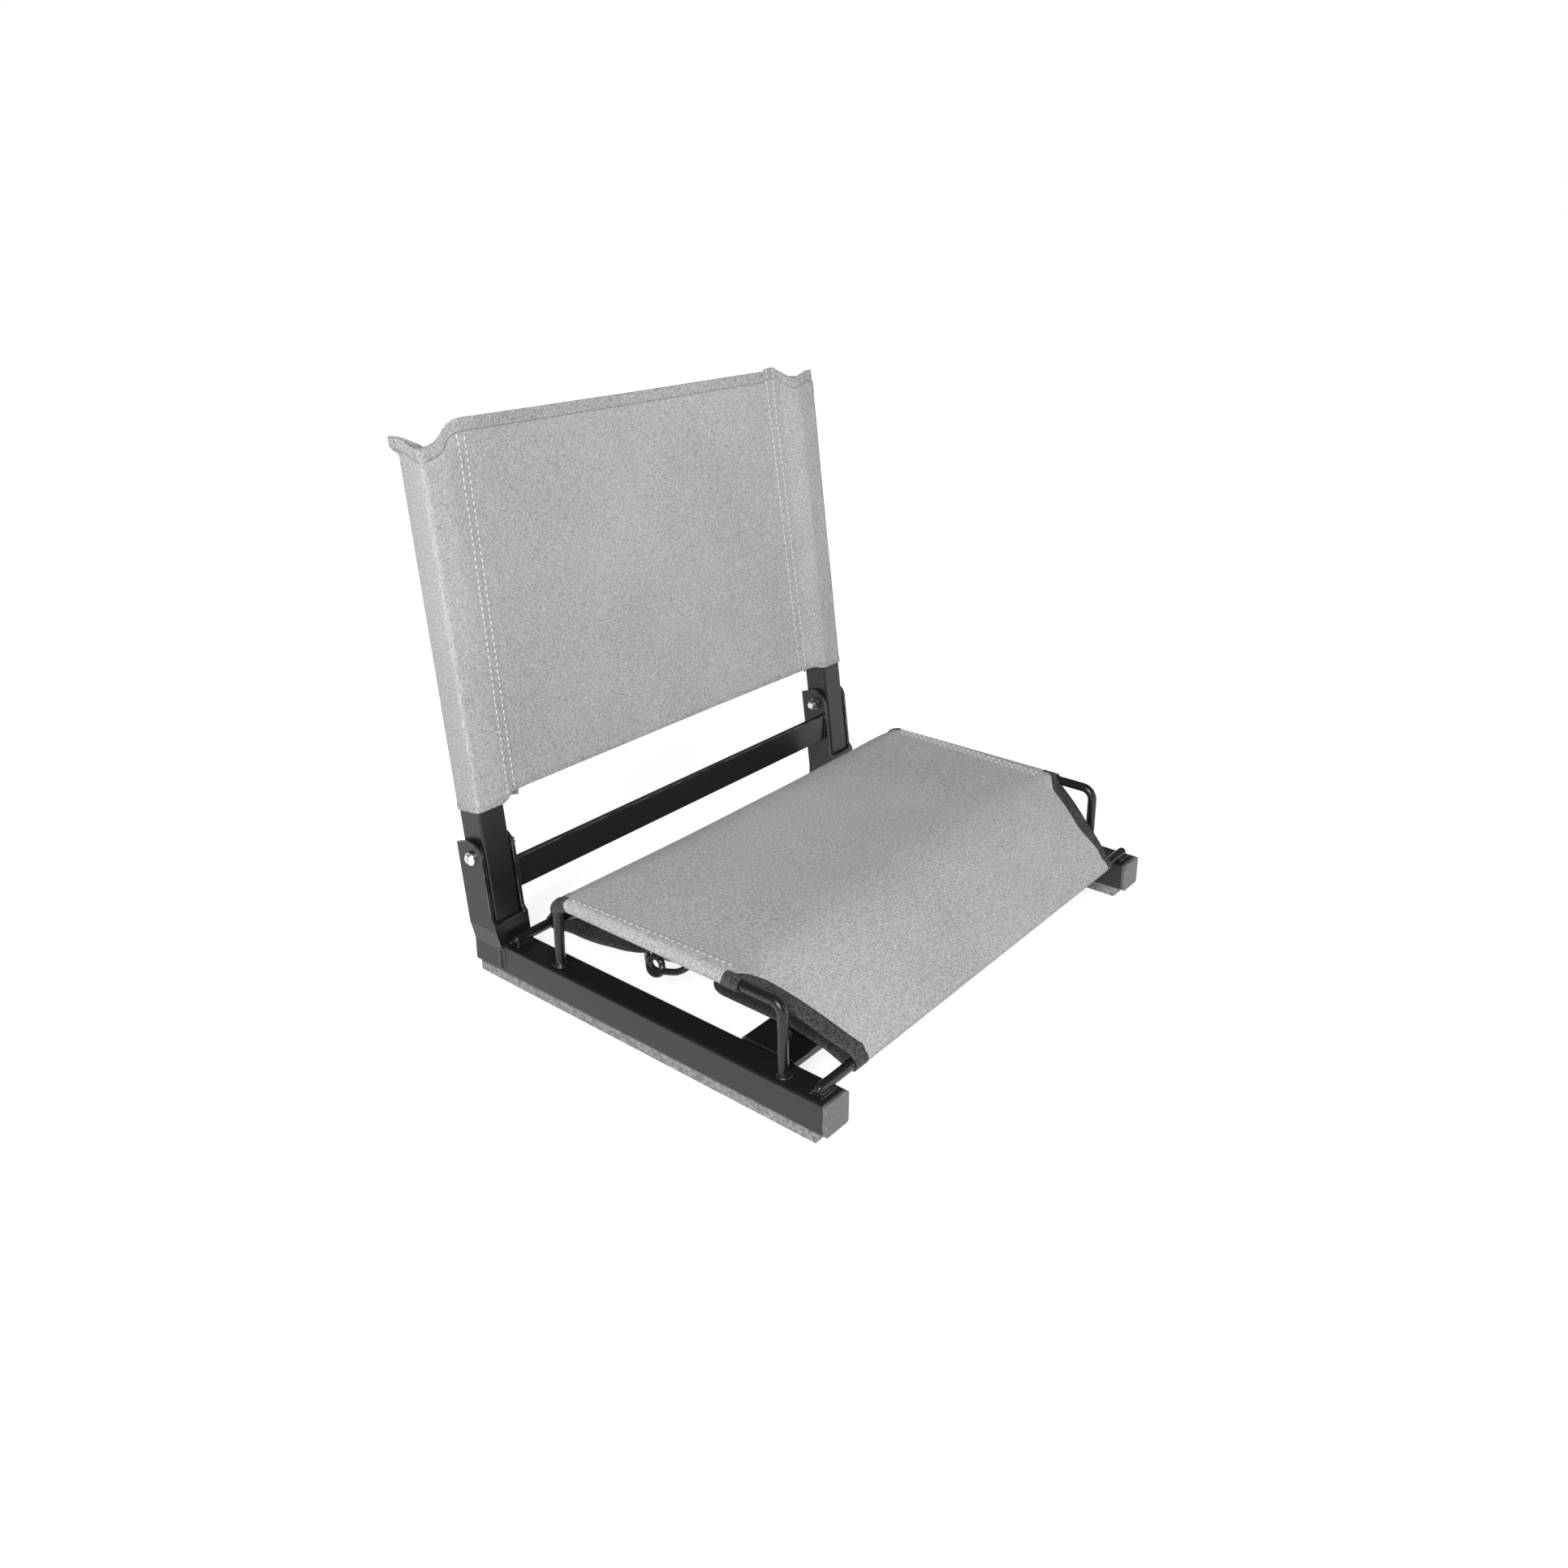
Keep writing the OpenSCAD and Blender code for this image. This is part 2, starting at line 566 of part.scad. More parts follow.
module cord(p, d) {
    ns = normals(p, 0, [0, 0, 1]);
    last = len(p) - 1;
    pts = [for (i = [0 : last]) let (t = tangent(p, i), n = ns[i], b = cross(t, n))
        for (k = [0 : ring_n - 1]) p[i] + (n * cos(k * 360 / ring_n) + b * sin(k * 360 / ring_n)) * d / 2];
    function at(i, k) = i * ring_n + k % ring_n;
    polyhedron(pts, concat([[for (k = [0 : ring_n - 1]) at(0, k)]],
        [for (i = [0 : last - 1], k = [0 : ring_n - 1], h = [0, 1])
            h == 0 ? [at(i, k), at(i + 1, k), at(i + 1, k + 1)] : [at(i, k), at(i + 1, k + 1), at(i, k + 1)]],
        [[for (k = [ring_n - 1 : -1 : 0]) at(last, k)]]));
}
module seat_lacing() color(tape_grey) place() cord(lace_route, lace_d);

// Back frame
module back_tube(side) {
    color(steel) at_pivot() translate([side * tube_x, 0, 0]) difference() {
        translate([0, 0, plug_t - back_below]) square_tube(back_side, back_above + back_below - 2 * plug_t);
        rotate([0, 90, 0]) cylinder(d = bush_d + 2 * fit_gap, h = 2 * back_side, center = true);
    }
}
module top_plug(side) color(cap_grey) at_pivot() translate([side * tube_x, 0, back_above])
    rotate([180, 0, 0]) tube_plug(back_side, plug_t);
module bottom_plug(side) color(cap_grey) at_pivot() translate([side * tube_x, 0, -back_below])
    tube_plug(back_side, plug_t);

// Pivot hardware, along X through each bracket; the head is outside
module at_pivots() place() for (side = [-1, 1]) translate([side * tube_x, pivot_y, pivot_z])
    rotate([0, side > 0 ? 90 : -90, 0]) children();

module pivot_bolts() {
    grip = bracket_out + washer_t + nut_h + 2;
    color(zinc) at_pivots() {
        translate([0, 0, bracket_out / 2 - grip]) cylinder(d = bolt_d, h = grip + 0.5);
        translate([0, 0, bracket_out / 2]) difference() {
            union() {
                cylinder(d = head_d, h = head_h * 0.5);
                translate([0, 0, head_h * 0.5]) cylinder(d1 = head_d, d2 = head_d * 0.62, h = head_h * 0.5);
            }
            translate([-head_d, -0.7, head_h * 0.55]) cube([2 * head_d, 1.4, head_h]);
        }
    }
}

module pivot_nuts() {
    color(zinc) at_pivots() translate([0, 0, -bracket_out / 2]) difference() {
        union() {
            translate([0, 0, -washer_t]) cylinder(d = 2 * bolt_d, h = washer_t);
            translate([0, 0, -washer_t - nut_h * 0.7]) hex(nut_af, nut_h * 0.7);
            translate([0, 0, -washer_t - nut_h]) cylinder(d1 = nut_af * 0.8, d2 = nut_af * 0.95, h = nut_h * 0.3);
        }
        translate([0, 0, -washer_t - nut_h - 1]) cylinder(d = bolt_d + 2 * fit_gap, h = washer_t + nut_h + 2);
    }
}

module pivot_bushes() {
    color(zinc) at_pivots() difference() {
        cylinder(d = bush_d, h = bracket_in, center = true);
        cylinder(d = bolt_d + 2 * fit_gap, h = bracket_in + 1, center = true);
    }
}

module pivot_washers() {
    t = side_gap - washer_play;
    color(cloth_grey) at_pivots() for (end = [-1, 1]) translate([0, 0, end * (bracket_in - t) / 2]) difference() {
        cylinder(d = 1.9 * bush_d, h = t, center = true);
        cylinder(d = bush_d + 2 * fit_gap, h = t + 1, center = true);
    }
}

// Back cover: one cloth round the left tube, across the panel and round the right tube
function sleeve_side(s) = let (r = back_half + cloth_gap + cloth_t / 2, c = 1.5) [
    [s * (tube_x - seam_in + 2), cloth_t + cloth_gap], [s * (tube_x - r), r - 0.6], [s * (tube_x - r + c), r],
    [s * (tube_x + r - c), r], [s * (tube_x + r), r - c], [s * (tube_x + r), c - r], [s * (tube_x + r - c), -r],
    [s * (tube_x - r + c), -r], [s * (tube_x - r), 0.6 - r], [s * (tube_x - seam_in), 0]];
panel_n = 10;
panel_path = let (w = tube_x - seam_in) [for (i = [1 : panel_n - 1]) let (k = 2 * i / panel_n - 1)
    [k * w, panel_sag * (1 - k * k)]];
cover_path = concat(sleeve_side(-1), panel_path, reversed(sleeve_side(1)));

module back_cover() {
    inner = tube_x - seam_in;
    color(cloth_grey) at_pivot() difference() {
        translate([0, 0, hem_u]) linear_extrude(panel_u - hem_u) polygon(ribbon(cover_path, cloth_t));
        for (s = [-1, 1]) translate([0, 50, 0]) rotate([90, 0, 0]) linear_extrude(100)
            polygon([[s * (inner + 4), panel_u + 5], [s * (inner + 4), panel_u], [s * (inner + 16), panel_u - 5],
                [s * (tube_x - 10), rim_u + 3], [s * tube_x, rim_u - 1], [s * (tube_x + back_half), rim_u],
                [s * (tube_x + 60), rim_u], [s * (tube_x + 60), panel_u + 5]]);
    }
}

rail(-1);  // left_rail
rail(1);  // right_rail
front_cap(-1);  // left_front_cap
front_cap(1);  // right_front_cap
rear_cap(-1);  // left_rear_cap
rear_cap(1);  // right_rear_cap
foot(-1);  // left_foot
foot(1);  // right_foot
foot_screws();
bracket(-1);  // left_bracket
bracket(1);  // right_bracket
rear_crossbar();
front_plate();
plate_bolts();
plate_nuts();
seat_wire(-1);  // left_seat_wire
seat_wire(1);  // right_seat_wire
cross_rod(front_rod_y);  // front_rod
cross_rod(rear_rod_y);  // rear_rod
seat_cover();
seat_binding();
flap_binding();
flap_eyelets();
seat_lacing();
back_tube(-1);  // left_back_tube
back_tube(1);  // right_back_tube
top_plug(-1);  // left_top_plug
top_plug(1);  // right_top_plug
bottom_plug(-1);  // left_bottom_plug
bottom_plug(1);  // right_bottom_plug
back_cover();
pivot_bolts();
pivot_nuts();
pivot_bushes();
pivot_washers();
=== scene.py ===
import json
import math

import bmesh
import bpy
import numpy as np
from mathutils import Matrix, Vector


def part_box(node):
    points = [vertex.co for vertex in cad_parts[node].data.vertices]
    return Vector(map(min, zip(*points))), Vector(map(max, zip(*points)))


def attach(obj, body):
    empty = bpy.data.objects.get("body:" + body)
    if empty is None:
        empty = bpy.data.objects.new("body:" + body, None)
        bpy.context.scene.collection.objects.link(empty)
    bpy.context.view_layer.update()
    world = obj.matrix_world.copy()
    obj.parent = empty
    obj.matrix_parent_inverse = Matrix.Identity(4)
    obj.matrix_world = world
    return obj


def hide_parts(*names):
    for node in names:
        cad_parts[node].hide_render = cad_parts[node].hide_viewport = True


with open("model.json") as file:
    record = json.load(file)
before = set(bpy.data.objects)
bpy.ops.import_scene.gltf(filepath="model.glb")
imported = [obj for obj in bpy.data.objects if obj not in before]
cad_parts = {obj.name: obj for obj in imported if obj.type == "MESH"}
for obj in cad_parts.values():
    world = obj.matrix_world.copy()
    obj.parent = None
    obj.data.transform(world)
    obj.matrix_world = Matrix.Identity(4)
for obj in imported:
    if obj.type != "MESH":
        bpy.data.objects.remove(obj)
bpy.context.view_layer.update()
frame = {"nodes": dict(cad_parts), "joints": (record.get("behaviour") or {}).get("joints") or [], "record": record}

mm = 0.001
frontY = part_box("left_front_cap")[0].y  # front face of the base; lengths along y below start there


def middle(node, axis):
    low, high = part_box(node)
    return (low[axis] + high[axis]) / 2


def place(x, y, z):  # millimetres, y from the front of the base, to metres in the frame
    return Vector((x * mm, y * mm + frontY, z * mm))


def clamp(t):
    return min(max(t, 0.0), 1.0)


def smooth(t):
    t = clamp(t)
    return t * t * (3 - 2 * t)


def blendOf(a, b, t):
    return a + (b - a) * t


def readTable(table, at):  # value at a place, on straight lines between the table's points
    return float(np.interp(at, [row[0] for row in table], [row[1] for row in table]))


# camera and stage
camera = {
    "spot": (-843.15, -461.92, 610.72),
    "turn": (71.3245, 0.0, -50.8771),
    "lens": 31.834,
    "shiftY": -0.0855,
}
eye = bpy.data.objects.new("viewCamera", bpy.data.cameras.new("viewCamera"))
bpy.context.scene.collection.objects.link(eye)
eye.location = place(*camera["spot"])
eye.rotation_euler = [math.radians(a) for a in camera["turn"]]
eye.data.sensor_width = 36
eye.data.lens = camera["lens"]
eye.data.shift_y = camera["shiftY"]
eye.data.clip_start = 0.02
eye.data.clip_end = 50
bpy.context.scene.camera = eye
print("camera placed")


def newMaterial(name):
    mat = bpy.data.materials.new(name)
    mat.use_nodes = True
    tree = mat.node_tree
    return mat, tree, tree.nodes["Principled BSDF"]


def addNode(tree, kind, **values):
    node = tree.nodes.new(kind)
    for key, value in values.items():
        setattr(node, key, value)
    return node


def newGroup(name, takes, gives):  # takes floats, with their usual values; gives sockets of the kinds named
    group = bpy.data.node_groups.new(name, "ShaderNodeTree")
    for label, value in takes.items():
        socket = group.interface.new_socket(label, in_out="INPUT", socket_type="NodeSocketFloat")
        socket.default_value = value
    for label, kind in gives.items():
        group.interface.new_socket(label, in_out="OUTPUT", socket_type="NodeSocket" + kind)
    return group, group.nodes.new("NodeGroupInput"), group.nodes.new("NodeGroupOutput")


def setInputs(node, values):
    for label, value in values.items():
        node.inputs[label].default_value = value


def useGroup(tree, group, values):
    node = addNode(tree, "ShaderNodeGroup", node_tree=group)
    setInputs(node, values)
    return node


def noise(tree, vector, scale, detail=2):
    node = addNode(tree, "ShaderNodeTexNoise")
    node.inputs["Detail"].default_value = detail
    tree.links.new(vector, node.inputs["Vector"])
    if isinstance(scale, (int, float)):
        node.inputs["Scale"].default_value = scale
    else:
        tree.links.new(scale, node.inputs["Scale"])
    return node.outputs[0]


def feed(tree, node, values):  # numbers are set, sockets are linked
    for socket, value in zip(node.inputs, values):
        if isinstance(value, (int, float)):
            socket.default_value = value
        elif value is not None:
            tree.links.new(value, socket)
    return node.outputs[0]


def calc(tree, operation, a, b=None, c=None):
    return feed(tree, addNode(tree, "ShaderNodeMath", operation=operation), (a, b, c))


def remap(tree, value, fromLow, fromHigh, toLow, toHigh):
    return feed(tree, addNode(tree, "ShaderNodeMapRange"), (value, fromLow, fromHigh, toLow, toHigh))


# shared surface effects
def makeWeave():  # plain weave from a UV map in metres
    group, take, give = newGroup("plainWeave", {"Pitch": 0.001, "Slub": 0.5, "Ribs": 0.0},
                                 {"Height": "Float", "Tone": "Float"})
    links = group.links
    uv = addNode(group, "ShaderNodeTexCoord").outputs["UV"]
    split = addNode(group, "ShaderNodeSeparateXYZ")
    links.new(uv, split.inputs[0])
    drift = calc(group, "MULTIPLY", calc(group, "SUBTRACT", noise(group, uv, 260), 0.5), 0.0006)
    turns = calc(group, "DIVIDE", math.pi, take.outputs["Pitch"])
    a = calc(group, "SINE", calc(group, "MULTIPLY", calc(group, "ADD", split.outputs[0], drift), turns))
    b = calc(group, "SINE", calc(group, "MULTIPLY", calc(group, "ADD", split.outputs[1], drift), turns))
    over = calc(group, "MULTIPLY", a, b)
    ribs = calc(group, "MULTIPLY", calc(group, "ABSOLUTE", b), take.outputs["Ribs"])
    slub = calc(group, "SUBTRACT", noise(group, uv, 900, 1), 0.5)
    rough = calc(group, "MULTIPLY", slub, take.outputs["Slub"])
    high = calc(group, "ADD", calc(group, "ADD", calc(group, "MULTIPLY", over, 0.5), ribs), rough)
    links.new(high, give.inputs["Height"])
    links.new(remap(group, high, -1, 1, 0, 1), give.inputs["Tone"])
    return group


def makeMottle():  # blotches of tone at a coarse and a fine scale
    group, take, give = newGroup("mottle", {"Fine": 400.0, "Coarse": 12.0, "Low": 0.9, "High": 1.1},
                                 {"Tone": "Float", "Height": "Float"})
    links = group.links
    spot = addNode(group, "ShaderNodeTexCoord").outputs["Object"]
    fine = noise(group, spot, take.outputs["Fine"])
    coarse = noise(group, spot, take.outputs["Coarse"], 3)
    both = calc(group, "MULTIPLY_ADD", fine, 0.84, calc(group, "MULTIPLY", coarse, 0.16))
    links.new(remap(group, both, 0.36, 0.64, take.outputs["Low"], take.outputs["High"]), give.inputs["Tone"])
    links.new(fine, give.inputs["Height"])
    return group


def makeEdges():  # rounded edge normal, and a patchy mask of the edges, used for worn edges and for painted edge highlights
    group, take, give = newGroup("softEdges", {"Radius": 0.0008, "Wear And Highlight Scale": 90.0},
                                 {"Normal": "Vector", "Wear And Highlight": "Float"})
    links = group.links
    bevel = addNode(group, "ShaderNodeBevel", samples=6)
    links.new(take.outputs["Radius"], bevel.inputs["Radius"])
    flat = addNode(group, "ShaderNodeNewGeometry").outputs["Normal"]
    dot = addNode(group, "ShaderNodeVectorMath", operation="DOT_PRODUCT")
    links.new(bevel.outputs[0], dot.inputs[0])
    links.new(flat, dot.inputs[1])
    rim = remap(group, dot.outputs["Value"], 0.995, 0.85, 0, 1)
    spot = addNode(group, "ShaderNodeTexCoord").outputs["Object"]
    patch = remap(group, noise(group, spot, take.outputs["Wear And Highlight Scale"], 4), 0.42, 0.62, 0, 1)
    links.new(bevel.outputs[0], give.inputs["Normal"])
    links.new(calc(group, "MULTIPLY", rim, patch), give.inputs["Wear And Highlight"])
    return group


weaveGroup, mottleGroup, edgeGroup = makeWeave(), makeMottle(), makeEdges()


def tint(tree, colour, tone):  # colour multiplied by a tone that varies
    mix = addNode(tree, "ShaderNodeMix", data_type="RGBA", blend_type="MULTIPLY")
    setInputs(mix, {"Factor": 1, "A": (*colour, 1)})
    tree.links.new(tone, mix.inputs["B"])
    return mix.outputs["Result"]


def mixColour(tree, a, b, factor):
    mix = addNode(tree, "ShaderNodeMix", data_type="RGBA")
    tree.links.new(factor, mix.inputs["Factor"])
    tree.links.new(a, mix.inputs["A"])
    mix.inputs["B"].default_value = (*b, 1)
    return mix.outputs["Result"]


def bump(tree, height, distance, strength, normal=None):
    node = addNode(tree, "ShaderNodeBump")
    setInputs(node, {"Distance": distance, "Strength": strength})
    tree.links.new(height, node.inputs["Height"])
    if normal is not None:
        tree.links.new(normal, node.inputs["Normal"])
    return node.outputs[0]


def blotches(tree, look):
    labels = ("Fine", "Coarse", "Low", "High")
    return useGroup(tree, mottleGroup, {label: look[label.lower()] for label in labels})


def cloth(name, look):
    mat, tree, shader = newMaterial(name)
    labels = ("Pitch", "Slub", "Ribs")
    weave = useGroup(tree, weaveGroup, {label: look[label.lower()] for label in labels})
    mottle = blotches(tree, look)
    tone = calc(tree, "MULTIPLY", mottle.outputs["Tone"],
                remap(tree, weave.outputs["Tone"], 0, 1, look["threadLow"], look["threadHigh"]))
    tree.links.new(tint(tree, look["colour"], tone), shader.inputs["Base Color"])
    tree.links.new(remap(tree, weave.outputs["Tone"], 0, 1, look["rough"] + 0.08, look["rough"] - 0.08),
                   shader.inputs["Roughness"])
    grain = bump(tree, mottle.outputs["Height"], look["grain"], 0.6)
    tree.links.new(bump(tree, weave.outputs["Height"], look["depth"], look["bump"], grain),
                   shader.inputs["Normal"])
    setInputs(shader, {"Sheen Weight": look["sheen"], "Sheen Roughness": 0.4,
                       "Specular IOR Level": look["gloss"]})
    return mat


def coated(name, look):  # painted, moulded or plated surfaces of the frame
    mat, tree, shader = newMaterial(name)
    edges = useGroup(tree, edgeGroup, {"Radius": look["edge"], "Wear And Highlight Scale": look["edgeWearAndHighlightScale"]})
    mottle = blotches(tree, look)
    base = tint(tree, look["colour"], mottle.outputs["Tone"])
    # lighter edge colour: partly wear, partly painted highlight lines where the lamp would catch the rounded edges
    wornAndHighlit = calc(tree, "MULTIPLY", edges.outputs["Wear And Highlight"], look["edgeWearAndHighlight"])
    base = mixColour(tree, base, look["edgeWearAndHighlightColour"], wornAndHighlit)
    tree.links.new(base, shader.inputs["Base Color"])
    rough, spread = look["rough"], look["roughSpread"]
    duller = remap(tree, mottle.outputs["Tone"], look["low"], look["high"], rough - spread, rough + spread)
    tree.links.new(duller, shader.inputs["Roughness"])
    tree.links.new(bump(tree, mottle.outputs["Height"], look["depth"], look["bump"], edges.outputs["Normal"]),
                   shader.inputs["Normal"])
    setInputs(shader, {"Metallic": look["metal"], "Coat Weight": look["coat"], "Coat Roughness": 0.15,
                       "Specular IOR Level": look["gloss"]})
    return mat


# pitch, depth, grain and edge are in metres, and the other sizes are noise scales
# low and high are the tone of the blotches, threadLow and threadHigh the tone of the weave
canvasLook = {
    "colour": (0.45, 0.45, 0.452), "pitch": 0.0009, "slub": 0.9, "ribs": 0.0, "fine": 620.0, "coarse": 9.0,
    "low": 0.74, "high": 1.26, "threadLow": 0.72, "threadHigh": 1.26, "rough": 0.8,
    "depth": 0.00025, "bump": 0.5, "grain": 0.0006, "sheen": 0.1, "gloss": 0.25,
}
tapeLook = {
    "colour": (0.03, 0.03, 0.031), "pitch": 0.0016, "slub": 0.8, "ribs": 0.8, "fine": 420.0, "coarse": 20.0,
    "low": 0.5, "high": 1.7, "threadLow": 0.4, "threadHigh": 2.1, "rough": 0.68,
    "depth": 0.0005, "bump": 0.8, "grain": 0.0008, "sheen": 0.05, "gloss": 0.35,
}
threadLook = {
    "colour": (0.78, 0.78, 0.77), "pitch": 0.0005, "slub": 0.4, "ribs": 0.0, "fine": 900.0, "coarse": 30.0,
    "low": 0.95, "high": 1.05, "threadLow": 0.9, "threadHigh": 1.05, "rough": 0.5,
    "depth": 0.0001, "bump": 0.4, "grain": 0.0001, "sheen": 0.1, "gloss": 0.5,
}
cordLook = {
    "colour": (0.014, 0.014, 0.015), "pitch": 0.0016, "slub": 0.3, "ribs": 0.3, "fine": 600.0, "coarse": 25.0,
    "low": 0.85, "high": 1.2, "threadLow": 0.7, "threadHigh": 1.5, "rough": 0.26,
    "depth": 0.0005, "bump": 0.6, "grain": 0.0001, "sheen": 0.0, "gloss": 0.7,
}
# the lighter edge colour of the steel and the caps is mostly a painted highlight along their edges, broken into
# patches like wear
steelLook = {
    "colour": (0.011, 0.011, 0.0115), "fine": 700.0, "coarse": 14.0, "low": 0.8, "high": 1.25,
    "rough": 0.34, "roughSpread": 0.06, "depth": 0.0001, "bump": 0.12, "gloss": 0.33, "metal": 0.0,
    "coat": 0.15, "edge": 0.001, "edgeWearAndHighlight": 0.75, "edgeWearAndHighlightScale": 60.0, "edgeWearAndHighlightColour": (0.42, 0.42, 0.42),
}
capLook = {
    "colour": (0.12, 0.12, 0.122), "fine": 700.0, "coarse": 40.0, "low": 0.75, "high": 1.25,
    "rough": 0.42, "roughSpread": 0.06, "depth": 0.0002, "bump": 0.3, "gloss": 0.5, "metal": 0.0,
    "coat": 0.0, "edge": 0.0017, "edgeWearAndHighlight": 1.0, "edgeWearAndHighlightScale": 90.0, "edgeWearAndHighlightColour": (0.44, 0.44, 0.44),
}
rubberLook = {
    "colour": (0.26, 0.26, 0.255), "fine": 380.0, "coarse": 18.0, "low": 0.6, "high": 1.4,
    "rough": 0.72, "roughSpread": 0.08, "depth": 0.0005, "bump": 0.7, "gloss": 0.5, "metal": 0.0,
    "coat": 0.0, "edge": 0.0006, "edgeWearAndHighlight": 0.4, "edgeWearAndHighlightScale": 60.0, "edgeWearAndHighlightColour": (0.42, 0.42, 0.41),
}
zincLook = {
    "colour": (0.78, 0.785, 0.79), "fine": 900.0, "coarse": 60.0, "low": 0.88, "high": 1.05,
    "rough": 0.27, "roughSpread": 0.08, "depth": 0.00005, "bump": 0.15, "gloss": 0.5, "metal": 1.0,
    "coat": 0.0, "edge": 0.0004, "edgeWearAndHighlight": 0.4, "edgeWearAndHighlightScale": 200.0, "edgeWearAndHighlightColour": (0.9, 0.9, 0.9),
}
enamelLook = dict(steelLook, colour=(0.03, 0.03, 0.03), rough=0.3, edge=0.0003, coarse=60.0)
nylonLook = dict(capLook, colour=(0.62, 0.62, 0.6), rough=0.5, edge=0.0003, edgeWearAndHighlightColour=(0.75, 0.75, 0.72))
weldLook = dict(steelLook, fine=420.0, rough=0.22, bump=0.5, depth=0.0003, coat=0.5)
dullNutLook = dict(zincLook, colour=(0.2, 0.2, 0.205), rough=0.4, edgeWearAndHighlightColour=(0.5, 0.5, 0.5))

coverCanvas = cloth("coverCanvas", canvasLook)
hemCanvas = cloth("hemCanvas", dict(canvasLook, colour=(0.435, 0.435, 0.437), low=0.62, high=1.3, bump=0.8))
edgeTape = cloth("edgeTape", tapeLook)
sewingThread = cloth("sewingThread", threadLook)
hemThreadGrey = cloth("hemThreadGrey", dict(threadLook, colour=(0.62, 0.62, 0.62)))
lacingCord = cloth("lacingCord", cordLook)
frameSteel = coated("frameSteel", steelLook)
wireSteel = coated("wireSteel", dict(steelLook, colour=(0.009, 0.009, 0.0095), rough=0.27, coat=0.2))
weldSteel = coated("weldSteel", weldLook)
capPlastic = coated("capPlastic", capLook)
footRubber = coated("footRubber", rubberLook)
boltZinc = coated("boltZinc", zincLook)
nutZinc = coated("nutZinc", dullNutLook)
eyeletEnamel = coated("eyeletEnamel", enamelLook)
washerNylon = coated("washerNylon", nylonLook)

finishes = {
    "black_steel": frameSteel, "grey_plastic": capPlastic, "plated_steel": boltZinc, "nylon": washerNylon,
    "black_eyelet": eyeletEnamel, "grey_rubber": footRubber, "grey_cloth": coverCanvas, "dark_tape": edgeTape,
    "black_cord": lacingCord,
}
ownFinish = {"pivot_nuts": nutZinc}
for name in ("left_seat_wire", "right_seat_wire", "front_rod", "rear_rod"):
    ownFinish[name] = wireSteel
slotOf = {row["node"]: row["material_slot"] for row in frame["record"]["subparts"]}
for name, node in frame["nodes"].items():
    node.data.materials.clear()
    node.data.materials.append(ownFinish.get(name, finishes[slotOf[name]]))
print("finishes made")


# mesh helpers
def grid(made, points, uvs, closed=False):  # rows of equal length; uvs in metres
    mesh = made["mesh"]
    verts = [[mesh.verts.new(p) for p in row] for row in points]
    for i in range(len(verts) - 1):
        count = len(verts[i])
        for j in range(count if closed else count - 1):
            k = (j + 1) % count
            corners = (verts[i][j], verts[i][k], verts[i + 1][k], verts[i + 1][j])
            if len({tuple(v.co) for v in corners}) < 3:
                continue
            face = mesh.faces.new(corners)
            face.smooth = True
            ends = ((i, j), (i, j + 1), (i + 1, j + 1), (i + 1, j))
            for loop, (a, b) in zip(face.loops, ends):
                loop[made["uv"]].uv = uvs[a][b]
    return verts


def newPiece(name, material, body, slot):
    data = bpy.data.meshes.new(name)
    data.materials.append(material)
    piece = bpy.data.objects.new(name, data)
    bpy.context.scene.collection.objects.link(piece)
    mesh = bmesh.new()
    return {"piece": piece, "mesh": mesh, "uv": mesh.loops.layers.uv.new("UVMap"), "body": body, "slot": slot}


def finishPiece(made, merge=0.000001, solid=None):
    piece, mesh = made["piece"], made["mesh"]
    bmesh.ops.remove_doubles(mesh, verts=mesh.verts, dist=merge)
    bmesh.ops.recalc_face_normals(mesh, faces=mesh.faces)
    mesh.to_mesh(piece.data)
    mesh.free()
    if solid:
        skin = piece.modifiers.new("thickness", "SOLIDIFY")
        skin.thickness, skin.offset = solid
        skin.use_even_offset = True
        graph = bpy.context.evaluated_depsgraph_get()
        piece.data = bpy.data.meshes.new_from_object(piece.evaluated_get(graph))
        piece.modifiers.clear()
        for face in piece.data.polygons:
            face.use_smooth = True
    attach(piece, made["body"])
    return piece


def lengths(points):  # way along a line, at each of its points
    total, out = 0.0, [0.0]
    for a, b in zip(points, points[1:]):
        total += (b - a).length
        out.append(total)
    return out


def sectionRun(points):  # the same in metres, for a section in millimetres
    run = [0.0]
    for a, b in zip(points, points[1:]):
        run.append(run[-1] + math.hypot(b[0] - a[0], b[1] - a[1]) * mm)
    return run


def line2(a, b, n):
    return [(blendOf(a[0], b[0], t), blendOf(a[1], b[1], t)) for t in np.linspace(0, 1, n)]


def resample(points, step):  # evenly spaced copies of a polyline's points
    run = lengths(points)
    count = max(2, round(run[-1] / step) + 1)
    out, k = [], 0
    for i in range(count):
        want = run[-1] * i / (count - 1)
        while k < len(run) - 2 and run[k + 1] < want:
            k += 1
        t = (want - run[k]) / max(run[k + 1] - run[k], 1e-9)
        out.append(points[k].lerp(points[k + 1], clamp(t)))
    return out


def tube(made, path, radiusAt, sides, capped=True):
    up = Vector((0.13, 0.21, 0.97)).normalized()
    rows, uvs = [], []
    run = lengths(path)
    for i, p in enumerate(path):
        ahead = (path[min(i + 1, len(path) - 1)] - path[max(i - 1, 0)]).normalized()
        up = (up - ahead * up.dot(ahead)).normalized()
        side = ahead.cross(up)
        r = radiusAt(run[i], i)
        rows.append([p + (up * math.cos(a) + side * math.sin(a)) * r
                     for a in (2 * math.pi * k / sides for k in range(sides))])
        uvs.append([(run[i], 2 * math.pi * abs(r) * k / sides) for k in range(sides + 1)])
    verts = grid(made, rows, uvs, closed=True)
    if capped:
        for ring in (verts[0], verts[-1]):
            made["mesh"].faces.new(ring).smooth = True


thread = {"stitch": 3.3, "gap": 2.2, "width": 1.05, "proud": 0.5}  # millimetres


